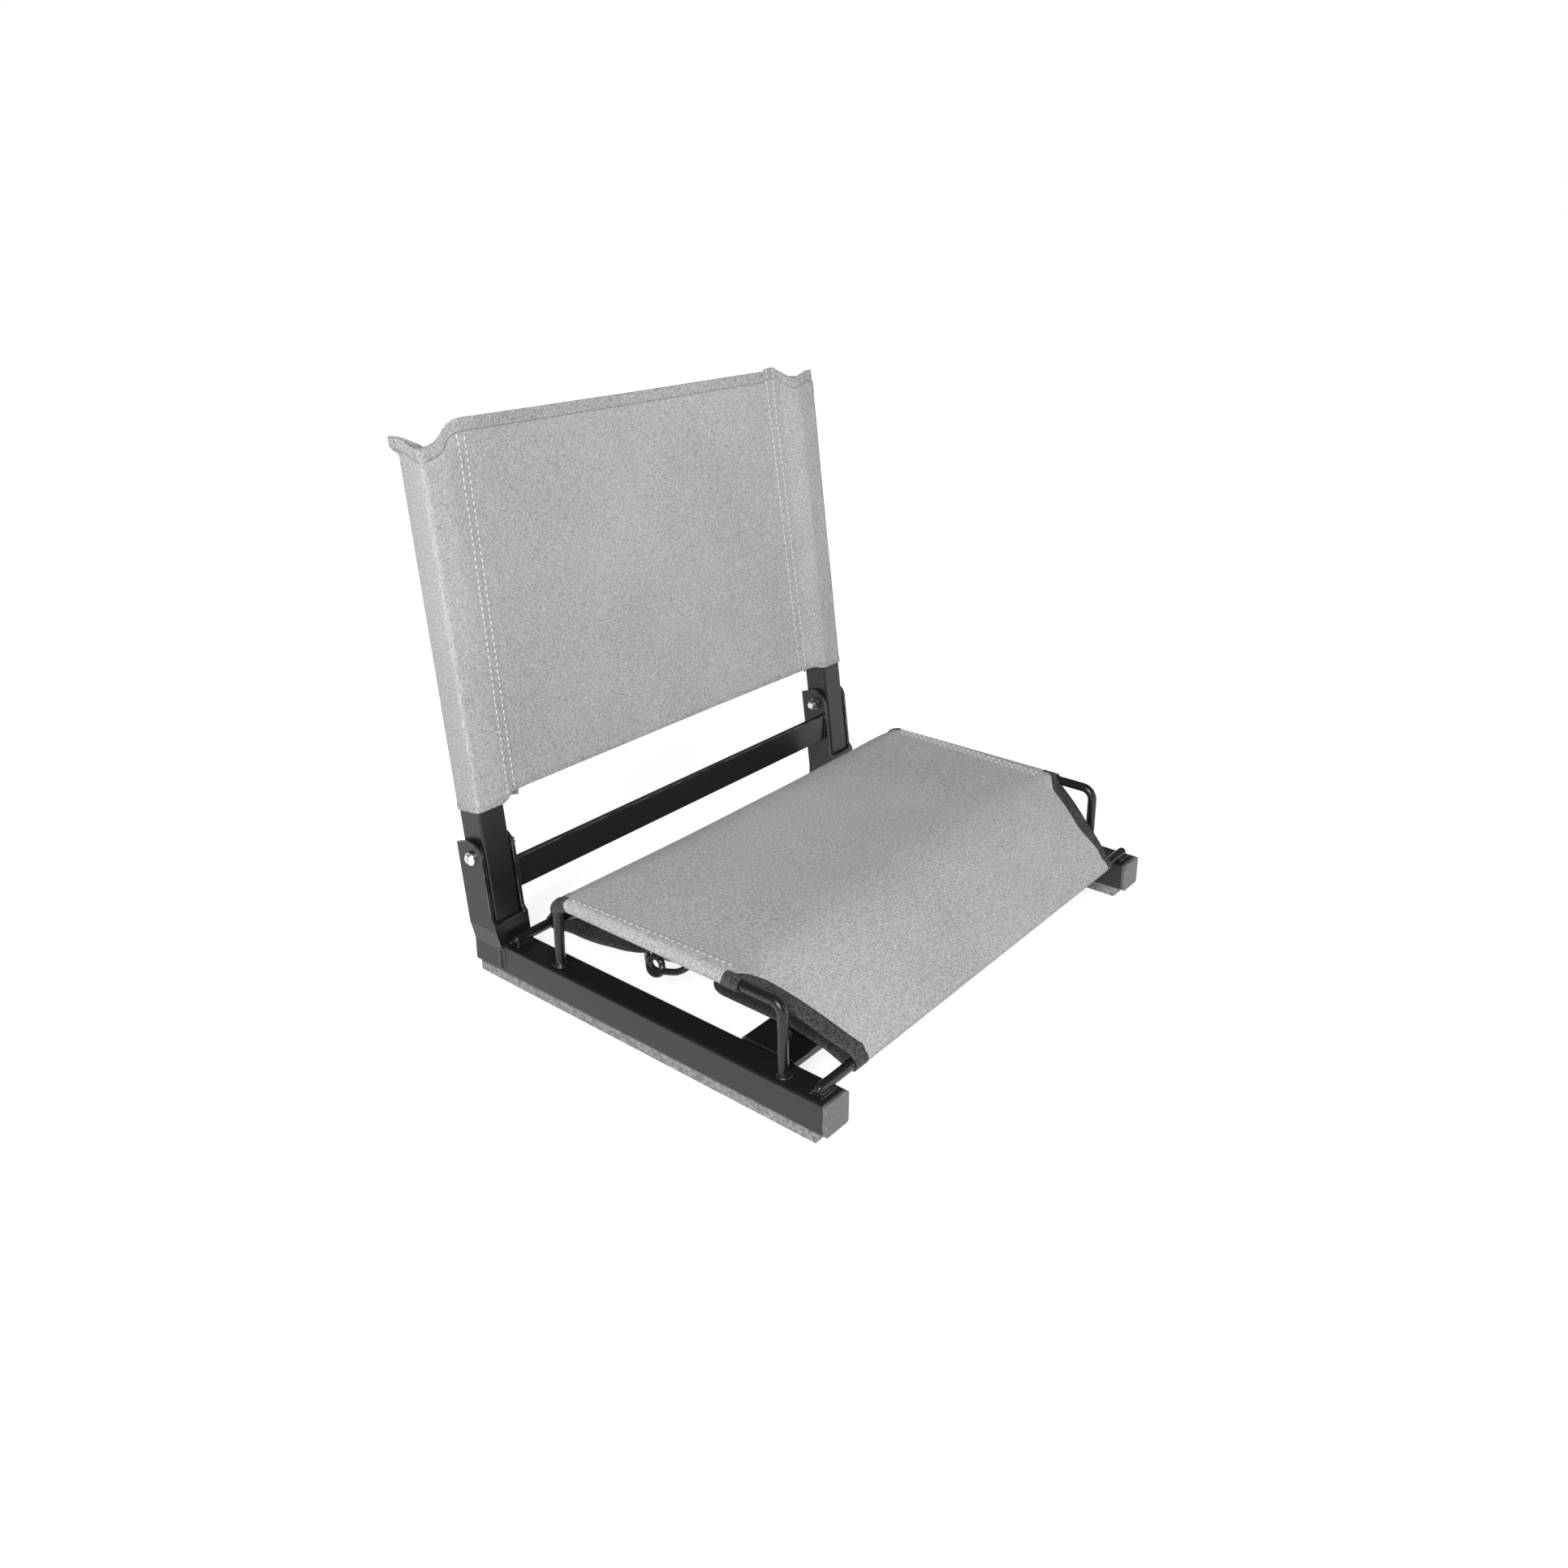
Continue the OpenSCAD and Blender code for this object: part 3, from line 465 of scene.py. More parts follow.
def stitchRow(made, path, outwards, look=thread):
    line = resample(path, 0.0005)
    run = lengths(line)
    step = (look["stitch"] + look["gap"]) * mm
    start = look["gap"] * mm / 2
    while start + look["stitch"] * mm < run[-1]:
        picked = []
        for part in (0, 0.2, 0.5, 0.8, 1):
            want = start + part * look["stitch"] * mm
            picked.append(min(round(want / run[-1] * (len(run) - 1)), len(line) - 1))
        rows, uvs = [], []
        for part, k in zip((0.25, 0.85, 1, 0.85, 0.25), picked):
            p, out = line[k], outwards(line[k])
            ahead = (line[min(k + 1, len(line) - 1)] - line[max(k - 1, 0)]).normalized()
            side = ahead.cross(out).normalized()
            ring = []
            for a in (2 * math.pi * n / 8 for n in range(8)):
                ring.append(p + side * math.cos(a) * look["width"] * mm / 2 * part
                            + out * (math.sin(a) * look["proud"] * mm * part + 0.02 * mm))
            rows.append(ring)
            uvs.append([(run[k], n * 0.0003) for n in range(9)])
        verts = grid(made, rows, uvs, closed=True)
        for ring in (verts[0], verts[-1]):
            made["mesh"].faces.new(ring)
        start += step


# seat cover
rodMid = {"front": (middle("front_rod", 1) - frontY) / mm, "rear": (middle("rear_rod", 1) - frontY) / mm}
rodZ = middle("front_rod", 2) / mm
rodR = 4.0
wireLow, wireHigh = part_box("right_seat_wire")
wireX = (wireLow.x + wireHigh.x) / 2 / mm
wireZ = wireHigh.z / mm - rodR
seat = {
    "thick": 0.9, "gap": 0.3,  # cloth, and the air between it and the steel
    "sleeve": (93.5, 256.5),  # where the sleeves begin and end along y
    "middle": 175.0,  # y that parts the front half from the rear half
    "bend": 10.0,  # of a wire, to its middle line
    "narrow": 186.0,  # half width round the rods
    "flap": 176.5, "taper": 60.0,  # half width of the under flaps, and how far from the rods it is reached
    "flapEnds": {"front": 158.75, "rear": 220.75},  # free ends of the flaps
    "flapZ": 37.2, "flapRound": 21.0,
    "flapRise": {"front": 30, "rear": 24},  # how far from its rod a flap reaches flapZ
    "droop": 4.5, "droopY": (236, 74), "droopX": (152, 26),  # where it starts, and over what length
    "crown": 7.0, "sag": 2.0, "wave": 0.25,
    "soften": (34.0, 13.0),  # softened more in the middle than at the wires
    "seam": ((95, 9.8), (146, 7.4), (204, 5.0), (254, 2.4)),  # sleeve seam inboard of the wire, along y
    "ridge": 0.85,  # height of the seam's fold
    "cutFrom": 1.5, "cutTo": 3.0,  # a cut starts past the rod's middle and ends before the sleeve
    "cutBow": 0.82,  # 1 makes the corner cuts straight, less bows them outward
    # along the flaps' sides the dark tape is widened past its 12 mm to paint the shade under the sleeves
    "tape": 12.0, "sideTapeAndShade": 20.0, "cutTape": 12.5,  # at the flaps' ends, their sides, the corner cuts
    "tapeThick": 1.5, "tapeOver": 0.8,
    "cutTurn": 12.0,  # how far before the wire the tape's inner edge turns to it
    "swell": 5.0, "swellTo": 30.0,  # how much wider the right front corner is at the rod, and its length
    "thinTape": 0.45,  # share of the tape's width left there
    "collar": 6.5, "frontCollar": 12.5, "rearCollar": 72.0,  # the rear one in degrees round the bend
}
wrapR = rodR + seat["gap"] + seat["thick"] / 2
seatZ = wireZ + wrapR
flapEnd = seat["flapEnds"]
farOut = 999.0  # wider than the cover: no corner cut here
cut = {}  # the edge from the rod out to the wire
for end, way, sleeveEnd in (("front", 1, seat["sleeve"][0]), ("rear", -1, seat["sleeve"][1])):
    start = rodMid[end] + way * seat["cutFrom"]
    reach = abs(sleeveEnd - way * seat["cutTo"] - start)
    cut[end] = {"y": start, "way": way, "reach": reach, "wide": wireX + 2 - seat["narrow"]}


def endOf(y):
    return "front" if y < seat["middle"] else "rear"


def cutX(y):  # plan outline of the cover's corners
    for end in ("front", "rear"):
        c = cut[end]
        along = (y - c["y"]) * c["way"]
        if along <= 0:
            return seat["narrow"]
        if along < c["reach"] + 4 and endOf(y) == end:
            return seat["narrow"] + c["wide"] * (along / c["reach"]) ** seat["cutBow"]
    return farOut


wireMeets = {}  # y where each cut reaches the wire, to a tenth
for end, ys in (("front", range(600, 930)), ("rear", range(2800, 2400, -1))):
    wireMeets[end] = next(n / 10 for n in ys if cutX(n / 10) >= wireX)


def sideProfile(y):  # side view of the stretched top, before it is softened
    y0, y1 = seat["sleeve"]
    if y0 <= y <= y1:
        return seatZ
    a, b = (rodMid["front"] - 3, y0) if y < y0 else (rodMid["rear"] + 3, y1)
    k = clamp((y - a) / (b - a))
    return blendOf(rodZ + 3.7, seatZ, k) + seat["crown"] * 4 * k * (1 - k)


def softProfile(y, most):
    reach = min(most, max(y - rodMid["front"] + 3, 0.01), max(rodMid["rear"] + 3 - y, 0.01))
    total = weight = 0.0
    for i in range(-8, 9):
        w = math.cos(i / 9 * math.pi / 2) ** 2
        total += w * sideProfile(y + reach * i / 8)
        weight += w
    return total / weight


def seamIn(y):  # distance of the sleeve seam inboard of the wire
    return readTable(seat["seam"], y)


def wireDrop(y):  # how far a wire has turned down behind the sleeves
    past = min(max(y - (seat["sleeve"][1] + 0.5), 0), seat["bend"] - 0.1)
    return seat["bend"] - math.sqrt(seat["bend"] ** 2 - past * past)


profileCache = {}


def topZ(x, y):
    across = min(abs(x) / wireX, 1)
    reach = round(blendOf(*seat["soften"], smooth((across - 0.3) / 0.65)))
    key = (round(y, 2), reach)
    if key not in profileCache:
        z = softProfile(y, reach)
        need = seatZ - wireDrop(y)
        hold = smooth((y - wireMeets["front"] + 12) / 12) * smooth((wireMeets["rear"] + 11 - y) / 11)
        profileCache[key] = (z, max(0, need - z) * hold)
    z, lift = profileCache[key]
    along = math.sin(math.pi * clamp((y - 12) / (rodMid["rear"] - 12)))
    wave = seat["wave"] * math.sin(x / 31 + y / 47) * math.sin(y / 38 - x / 60) * along * (1 - across ** 4)
    inSleeve = smooth((y - seat["sleeve"][0]) / 6) * smooth((seat["sleeve"][1] - y) / 6)
    fold = seat["ridge"] * inSleeve * smooth((abs(x) - wireX + seamIn(y)) / 0.9 + 0.5)
    return z + lift * smooth((abs(x) - 196) / 20) - seat["sag"] * (1 - across * across) * along + wave + fold


def flapZ(x, y):
    end = endOf(y)
    rise = smooth((y - rodMid[end]) * cut[end]["way"] / seat["flapRise"][end])
    along, across = (y - seat["droopY"][0]) / seat["droopY"][1], abs(x) - seat["droopX"][0]
    low = math.sin(math.pi * clamp(along)) * smooth(across / seat["droopX"][1])
    return blendOf(rodZ - wrapR, seat["flapZ"], rise) - seat["droop"] * low


def flapWidth(y):
    end = endOf(y)
    gap = (flapEnd[end] - y) * cut[end]["way"]
    r = seat["flapRound"]
    if gap >= r:
        near = abs(y - rodMid[end])
        return blendOf(seat["narrow"], seat["flap"], min(near / seat["taper"], 1))
    return seat["flap"] - r + math.sqrt(max(r * r - (r - gap) ** 2, 0))


def rightCorner(side, y):  # 1 at the front rod on the right, 0 away from it
    return 1 - smooth(abs(y - rodMid["front"]) / seat["swellTo"]) if side > 0 else 0.0


def flapRows(end, count):  # from the flap's free end to the rod
    way, r = cut[end]["way"], seat["flapRound"]
    ys = [flapEnd[end] - way * r * (1 - math.cos(k / 8 * math.pi / 2)) for k in range(9)]
    ys += list(np.linspace(flapEnd[end] - way * (r + 6), rodMid[end] + way * 2, count))
    return [("flap", y, None, flapWidth(y)) for y in ys]


def wrapRows(end):  # round the rod, from below to the top
    angles = [math.radians(270 - cut[end]["way"] * k * 12.5) for k in range(1, 13)]
    spots = [(rodMid[end] + wrapR * math.cos(a), rodZ + wrapR * math.sin(a)) for a in angles]
    return [("wrap", y, z, seat["narrow"]) for y, z in spots]


def coverRows():  # (zone, y, z, half width) from the front flap's end, over the top, to the rear flap's end
    ys = list(np.linspace(rodMid["front"] - 1.2, wireMeets["front"], 26))
    ys += list(np.linspace(wireMeets["front"], wireMeets["rear"], 50))[1:]
    ys += list(np.linspace(wireMeets["rear"], rodMid["rear"] + 1.2, 20))[1:]
    front = flapRows("front", 22) + wrapRows("front")
    rear = flapRows("rear", 18) + wrapRows("rear")
    return front + [("top", y, None, min(cutX(y), wireX)) for y in ys] + rear[::-1]


def zoneRows(zone, end):  # rows of one zone in one half, in order from the flap's free end
    rows = [row for row in coverLine if row[0] == zone and endOf(row[1]) == end]
    return rows if end == "front" else rows[::-1]


def onCover(zone, x, y, z=None):
    if z is None:
        z = flapZ(x, y) if zone == "flap" else topZ(x, y)
    return place(x, y, z)


def columnsAt(y):  # shares of the half width, closer together at the sleeve seams
    shares = list(np.linspace(0, 0.925, 30))
    shares += [1 - (seamIn(y) - d) / wireX for d in (-3.4, -1.4, -0.5, 0, 0.5, 1.5)] + [1]
    return [-s for s in shares[:0:-1]] + shares


coverLine = coverRows()
made = newPiece("seatCover", coverCanvas, "base", "grey_cloth")
points, uvs, walked, before = [], [], 0.0, None
for zone, y, z, wide in coverLine:
    columns = columnsAt(y)
    swell = [seat["swell"] * rightCorner(c, y) * abs(c) ** 8 for c in columns]
    row = [onCover(zone, c * (wide + more), y, z) for c, more in zip(columns, swell)]
    centre = row[len(row) // 2]
    if before is not None:
        walked += (centre - before).length
    before = centre
    points.append(row)
    uvs.append([(c * wide * mm, walked) for c in columns])
grid(made, points, uvs)


def sleeveRing():  # section of a sleeve, over the wire, round it and back to the seam: (outboard, up)
    ring = [(wrapR * math.sin(a), wrapR * math.cos(a)) for a in np.linspace(0, math.radians(205), 20)]
    seam = (-10.0, wrapR - seat["thick"] - 0.15)
    return ring + line2(ring[-1], seam, 5)[1:] + [(seam[0] - 5, seam[1] - 0.1)]


def sleeveSpan(k, count):  # where the sleeve begins and ends at ring point k
    share = smooth(k / (count - 6))
    y0, y1 = seat["sleeve"]
    return blendOf(wireMeets["front"], y0, share), blendOf(wireMeets["rear"], y1, share)


def sleevePoint(side, ring, k, y):
    top = topZ(side * wireX, y) * mm
    out, up = ring[k]
    p = place(side * (wireX + out), y, wireZ + up - wireDrop(y))
    if k == 0:
        p.z = top
    elif k < 6:
        p.z = blendOf(max(top - (wrapR - up) * mm, p.z), p.z, k / 6)
    return p


ring = sleeveRing()
ringRun = sectionRun(ring)
for side in (-1, 1):
    points, uvs = [], []
    for t in np.linspace(0, 1, 50):
        row, marks = [], []
        for k in range(len(ring)):
            y0, y1 = sleeveSpan(k, len(ring))
            y = blendOf(y0, y1, t)
            row.append(sleevePoint(side, ring, k, y))
            marks.append(((wireX * mm + ringRun[k]) * side, y * mm))
        points.append(row)
        uvs.append(marks)
    grid(made, points, uvs)
seatCover = finishPiece(made, 0.00005, (seat["thick"] * mm, 0))
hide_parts("seat_cover")
print("seat cover made")


# edge tape on the seat cover
def tapeStrip(made, rows):  # rows of points, edge first
    uvs, walked, before = [], 0.0, rows[0][0]
    for row in rows:
        walked += (row[0] - before).length
        before = row[0]
        run = lengths(row)
        uvs.append([(r, walked) for r in run])
    grid(made, rows, uvs)


def cutSlope(y):
    return cutX(y + 0.5) - cutX(y - 0.5)


def thinned(side, y):  # share of the tape's width
    return blendOf(1, seat["thinTape"], rightCorner(side, y))


def flapTape(side, end, steps):  # along the flap's free end, round its corner and along its side
    way, r, over = cut[end]["way"], seat["flapRound"], seat["tapeOver"]
    cornerX, cornerY = seat["flap"] - r, flapEnd[end] - way * r
    radii = [r + over - t * (seat["tape"] + over) for t in steps]
    rows = []
    for x in np.linspace(0, cornerX, 24):
        rows.append([onCover("flap", side * x, cornerY + way * near) for near in radii])
    for a in np.linspace(0, math.pi / 2, 12)[1:]:
        turned = [(cornerX + near * math.sin(a), cornerY + way * near * math.cos(a)) for near in radii]
        rows.append([onCover("flap", side * x, y) for x, y in turned])
    for _, y, _, w in zoneRows("flap", end):
        if abs(y - flapEnd[end]) <= r:
            continue
        w += over + seat["swell"] * rightCorner(side, y)
        near = min(abs(y - cornerY), abs(y - rodMid[end]))
        # the extra tape width along the sides is painted shade: dark cloth where the flap lies in shade
        deep = blendOf(seat["tape"], seat["sideTapeAndShade"], smooth(near / 9)) + over
        rows.append([onCover("flap", side * (w - t * deep * thinned(side, y)), y) for t in steps])
    return rows


def wrapTape(side, end, steps):  # round the rod
    rows = []
    for _, y, z, w in zoneRows("wrap", end):
        w += seat["tapeOver"] + seat["swell"] * rightCorner(side, y)
        deep = (seat["tape"] + seat["tapeOver"]) * thinned(side, y)
        rows.append([place(side * (w - t * deep), y, z) for t in steps])
    return rows


def cutTape(side, end, steps):  # up the corner cut to the wire
    meets, rows = wireMeets[end], []
    for _, y, _, _ in zoneRows("top", end):
        past = (y - meets) * cut[end]["way"]
        if past > seat["collar"]:
            break
        slant = min(math.hypot(1, cutSlope(y if past < 0 else meets)), 1.1)
        edge = min(cutX(y) + seat["swell"] * rightCorner(side, y), wireX)
        w = edge + seat["tapeOver"] * slant if past <= 0.01 else wireX
        near = smooth((past + seat["cutTurn"]) / (seat["collar"] + seat["cutTurn"]))
        inner = blendOf(edge - seat["cutTape"] * slant * thinned(side, y), wireX - 0.3, near)
        rows.append([place(side * x, y, topZ(x, y)) for x in (blendOf(w, inner, t) for t in steps)])
    return rows


def sleeveTape(side, end):  # across the sleeve's open end
    rows = []
    for k in range(len(ring) - 1):
        edge = sleeveSpan(k, len(ring))[0 if end == "front" else 1]
        run = [cut[end]["way"] * (t * (seat["collar"] + 0.6) - 0.6) for t in np.linspace(0, 1, 5)]
        rows.append([sleevePoint(side, ring, k, edge + y) for y in run])
    return rows


def collarPaths(side):  # the bound ends of a sleeve, round the wire
    y0, y1 = seat["sleeve"]
    r = seat["bend"]
    front = [place(side * wireX, y, wireZ) for y in np.linspace(y0 + 1.5, y0 - seat["frontCollar"], 12)]
    bends = np.linspace(0, math.radians(seat["rearCollar"]), 14)
    rear = [place(side * wireX, y1 - 1, wireZ)]
    rear += [place(side * wireX, y1 + 0.5 + r * math.sin(a), wireZ - r + r * math.cos(a)) for a in bends]
    return front, rear


def collarRadius(run, i):
    return (wrapR + 0.25 + 0.12 * math.sin(run * 900)) * mm


made = newPiece("seatEdgeTape", edgeTape, "base", "dark_tape")
steps = np.linspace(0, 1, 6)
for side in (-1, 1):
    for end in ("front", "rear"):
        rows = flapTape(side, end, steps) + wrapTape(side, end, steps) + cutTape(side, end, steps)
        tapeStrip(made, rows)
        tapeStrip(made, sleeveTape(side, end))
    for path in collarPaths(side):
        tube(made, path, collarRadius, 24, capped=False)
seatTape = finishPiece(made, 0.00002, (seat["tapeThick"] * mm, 0))
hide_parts("seat_binding", "flap_binding")
print("edge tape made")


# seat thread
def topOut(p):
    x, y = p.x / mm, (p.y - frontY) / mm
    dx = topZ(x + 0.5, y) - topZ(x - 0.5, y)
    dy = topZ(x, y + 0.5) - topZ(x, y - 0.5)
    return Vector((-dx, -dy, 1)).normalized()


seatThreadLook = dict(thread, stitch=3.4, gap=2.4, width=0.9, proud=0.55)
seatRows = ((-1, 1.9), (1, 1.9), (1, -3.4))  # side, and distance outboard of the seam
made = newPiece("seatThread", sewingThread, "base", "grey_cloth")
for side, out in seatRows:
    line = []
    for y in np.linspace(seat["sleeve"][0] + 2, seat["sleeve"][1] - 4, 80):
        x = side * (wireX - seamIn(y) + out)
        line.append(place(x, y, topZ(x, y) + seat["thick"] / 2))
    stitchRow(made, line, topOut, seatThreadLook)
seatThread = finishPiece(made)
print("seat thread made")


# lacing
lacing = {
    "radius": 2.65, "count": 7, "in": 10.0,  # eyelets along a flap, and their distance from its free end
    "eyelet": 6.5, "bulge": 3.4,  # radius of an eyelet, and how far the cord stands off the cloth
    # the knotted end that shows under the left side
    "end": ((-166, 228, 32), (-175, 218, 35), (-181, 211, 31), (-181, 204, 30), (-180, 198, 34),
            (-178, 200, 41), (-177, 206, 44), (-177, 213, 41), (-178, 214, 35), (-179, 208, 32),
            (-179, 200, 34), (-178, 192, 36), (-177, 185, 38), (-175, 179, 42), (-171, 177, 45),
            (-168, 182, 43), (-166, 196, 40), (-163, 212, 34)),
}


def smoothLine(points, rounds):  # corner cutting
    for _ in range(rounds):
        out = [points[0]]
        for a, b in zip(points, points[1:]):
            out += [a.lerp(b, 0.25), a.lerp(b, 0.75)]
        points = out + [points[-1]]
    return points


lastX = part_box("flap_eyelets")[1].x / mm - lacing["eyelet"]
frontEye, rearEye = flapEnd["front"] - lacing["in"], flapEnd["rear"] + lacing["in"]
z, up = seat["flapZ"], lacing["bulge"] + seat["thick"]
route = list(lacing["end"])
for x in np.linspace(-lastX, lastX, lacing["count"]):
    for y, way in ((rearEye, 1), (frontEye, -1)):  # up through one flap, down through the other
        route += [(x, y, z + way * dz) for dz in (-up, -1.5, 1.5)] + [(x, y - way * 4, z + way * up)]
made = newPiece("lacingCord", lacingCord, "base", "black_cord")
path = resample(smoothLine([place(*p) for p in route], 3), 0.0016)
tube(made, path, lambda run, i: lacing["radius"] * mm, 14)
lace = finishPiece(made)
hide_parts("seat_lacing")
print("lacing made")


# back cover
pivot = Vector(frame["joints"][0]["pos_m"])
lean = math.radians(7.5)
tubeX = middle("right_back_tube", 0) / mm
back = {
    "thick": 0.9, "tube": 12.5, "gap": 0.3,
    "low": 38.0,  # bottom hem above the pivot, along the tube
    "lift": (5.5, 3.0),  # of the bottom hem beside the left and the right sleeve
    "seam": 35.0,  # seam inboard of the tube's middle
    "seamV": (-8.5, -5.0),  # v of the left and the right seam
    "bow": ((4.0, 15.0), (9.0, 12.5)),  # where the left and the right sleeve start to turn in, and how late
    "sag": 5.0, "crease": 0.28,
    "hem": 10.5, "lowHem": 5.0,
    "loose": (316.0, 9.0),  # height where the cloth above the tubes comes loose, and over what length
    "looseRight": 0.1,  # share of that at the front of the right sleeve
    "ear": 3.6,  # how far the loose corners lean out
    # height of the top edge along x, at the front of the sleeves and at their outer and rear faces
    "leftTop": ((0, 336.4), (110, 337.4), (191.5, 338.7), (197.5, 337.9), (203, 335.2), (207, 331.8),
                (211, 328), (216, 324.6), (222, 322.4), (228, 321.2), (234, 321)),
    "rightTop": ((0, 336.4), (100, 336.6), (169.6, 337), (170.5, 339.3), (182.5, 339.6), (184, 338.6),
                 (193, 333.6), (202, 327.8), (205, 327.2), (213, 329.8), (220, 331.8), (223, 332.3),
                 (231.7, 332.3), (232.7, 329), (234, 321.5)),
    "leftRear": ((180, 337), (188, 336), (199, 326), (205, 320.5), (211, 319.5), (217, 324), (226, 330.5),
                 (234, 331.5)),
    "rightRear": ((180, 337), (200, 333), (212, 328), (220, 327), (234, 327)),
    # distance of the two thread rows from the middle, at the top and at the bottom
    "leftRows": ((195.6, 202.4), (188.4, 194.2)),
    "rightRows": ((180.8, 186.8), (172.6, 178.4)),
}


def onBack(x, v, u):  # v to the rear and u up, both square to the leaning tube
    return Vector((x * mm, pivot.y + (v * math.cos(lean) + u * math.sin(lean)) * mm,
                   pivot.z + (u * math.cos(lean) - v * math.sin(lean)) * mm))


def roundCorner(cx, cy, r, a0, a1, n):
    angles = np.linspace(math.radians(a0), math.radians(a1), n)
    return [(cx + r * math.cos(a), cy + r * math.sin(a)) for a in angles]


def bezier(a, b, c, n):
    return [tuple((1 - t) ** 2 * p + 2 * t * (1 - t) * q + t * t * r for p, q, r in zip(a, b, c))
            for t in np.linspace(0, 1, n)]


def sleeveSection(bow, seamV):  # from the rear seam round the tube to the front seam: (outboard, v, part)
    half = back["tube"] + back["gap"] + back["thick"] / 2
    r = 2.6  # of the cloth round the tube's edges
    c = half - r
    rear = bezier((-back["seam"] + 3, seamV + 1.1), (-21, 11.6), (-6, half + 0.35), 12)
    rear += [(0, half + 0.3), (5, half + 0.15)]
    outer = roundCorner(c, c, r, 90, 0, 6) + [(half + 0.2, 5), (half + 0.3, 0), (half + 0.2, -5)]
    outer += roundCorner(c, -c, r, 0, -90, 6)
    end, fold = (-bow[0], -half - 0.2), (-back["seam"] + 6, seamV - 1.6)
    front = line2((c - 0.5, -half - 0.1), end, 11)
    front += bezier(end, (-bow[1], -half - 0.2), fold, 12)[1:]
    front += bezier(fold, (-back["seam"] + 1, seamV - 0.5), (-back["seam"] - 5, seamV), 7)[1:]
    return [(*q, "rear") for q in rear] + [(*q, "outer") for q in outer] + [(*q, "front") for q in front]


leftSection, rightSection = (sleeveSection(*pair) for pair in zip(back["bow"], back["seamV"]))
inner = tubeX - back["seam"] - 5  # edge of the flat panel


def panelV(k):  # v of the panel, at a share of its half width
    return back["sag"] - (back["sag"] - back["seamV"][int(k > 0)]) * k * k


closerColumns = [-0.988, -0.978, 0.9395, 0.9457, 0.953, 0.962, 0.97, 0.985]  # where the top edge bends
panelColumns = sorted(list(np.linspace(-1, 1, 47)[1:-1]) + closerColumns)
ringPoints = [(-(tubeX + s[0]), s[1], s[2]) for s in leftSection]
ringPoints += [(k * inner, panelV(k), "panel") for k in panelColumns]
ringPoints += [(tubeX + s[0], s[1], s[2]) for s in reversed(rightSection)]
fronts = {}  # from the seam outward
for side, section in ((-1, leftSection), (1, rightSection)):
    fronts[side] = [(tubeX + s[0], s[1]) for s in reversed(section) if s[2] == "front"]


def frontAt(x):  # v of the front surface
    if abs(x) <= inner:
        return panelV(x / inner)
    return readTable(fronts[math.copysign(1, x)], abs(x))


def topEdge(x, v, part):  # height of the cloth's top edge
    table = back["leftTop" if x < 0 else "rightTop"]
    if part in ("panel", "front"):
        return readTable(table, abs(x))
    rear = readTable(back["leftRear" if x < 0 else "rightRear"], abs(x))
    return blendOf(table[-1][1], rear, smooth((v + 12) / 22)) if part == "outer" else rear


def lowEdge(x, part):  # height of the cloth's bottom edge: the panel's is cut higher beside the sleeves
    if part not in ("panel", "front"):
        return back["low"]
    far = abs(x) / inner if part == "panel" else smooth((tubeX - 8 - abs(x)) / 16)
    return back["low"] + back["lift"][int(x > 0)] * far * far


def backPoint(x, v, part, u):
    over = smooth((u - back["loose"][0]) / back["loose"][1])
    if x > 0 and v < 0:
        over *= back["looseRight"]
    a = abs(x) - tubeX
    crease = math.sin(u / 17 + x / 9) * math.sin(u / 41 + 1.3) * back["crease"]
    if part == "panel":
        curl = 1.1 * smooth((u - 325) / 15) * math.cos(x / 60)
        return onBack(x, v + crease * 0.9 * math.sin(x / 43) + curl, u)
    outer = smooth((a + 8) / 20)
    loose = blendOf(blendOf(v, v * 0.72, smooth((a + 34) / 20)), v + 4.5, outer * smooth((v + 6) / 16))
    v = blendOf(v, loose, over)
    x += math.copysign(1, x) * over * back["ear"] * outer * smooth((v + 4) / 14)
    v += crease * (0.6 if v < 0 else 0.3) * smooth((u - back["low"]) / 30) * smooth((abs(x) - inner) / 12)
    return onBack(x, v, u)


made = newPiece("backCover", coverCanvas, "back", "grey_cloth")
around = sectionRun(ringPoints)
points, uvs = [], []
for t in list(np.linspace(0, 0.88, 64)) + list(np.linspace(0.88, 1, 24))[1:]:
    row, marks = [], []
    for k, (x, v, part) in enumerate(ringPoints):
        u = blendOf(lowEdge(x, part), topEdge(x, v, part), t)
        row.append(backPoint(x, v, part, u))
        marks.append((around[k], u * mm))
    points.append(row)
    uvs.append(marks)
grid(made, points, uvs)
backCover = finishPiece(made, 0.00002, (back["thick"] * mm, 0))
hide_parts("back_cover")
print("back cover made")


def outOf(k):  # outward from the cloth at a ring point
    before, after = ringPoints[max(k - 1, 0)], ringPoints[min(k + 1, len(ringPoints) - 1)]
    dx, dv = after[0] - before[0], after[1] - before[1]
    size = math.hypot(dx, dv)
    return Vector((dv / size, (-dx / size) * math.cos(lean), (dx / size) * math.sin(lean)))


made = newPiece("backHem", hemCanvas, "back", "grey_cloth")
for top, way, deep in ((True, -1, back["hem"]), (False, 1, back["lowHem"])):
    points, uvs = [], []
    for k, (x, v, part) in enumerate(ringPoints):
        edge = topEdge(x, v, part) + 0.4 if top else lowEdge(x, part)
        row, marks = [], []
        for t in np.linspace(0, 1, 6):
            u = edge + way * deep * t
            out = outOf(k) * (0.52 + 0.1 * math.sin(around[k] * 700)) * mm
            row.append(backPoint(x, v, part, u) + out)
            marks.append((around[k], u * mm))
        points.append(row)
        uvs.append(marks)
    grid(made, points, uvs)
backHem = finishPiece(made, 0.00002, (0.7 * mm, 0))
print("back hem made")


def frontOut(x):  # outward from the front of the cover
    slope = frontAt(x + 0.5) - frontAt(x - 0.5)
    return Vector((slope, -math.cos(lean), math.sin(lean))).normalized()


def threadOut(p):
    return frontOut(p.x / mm)


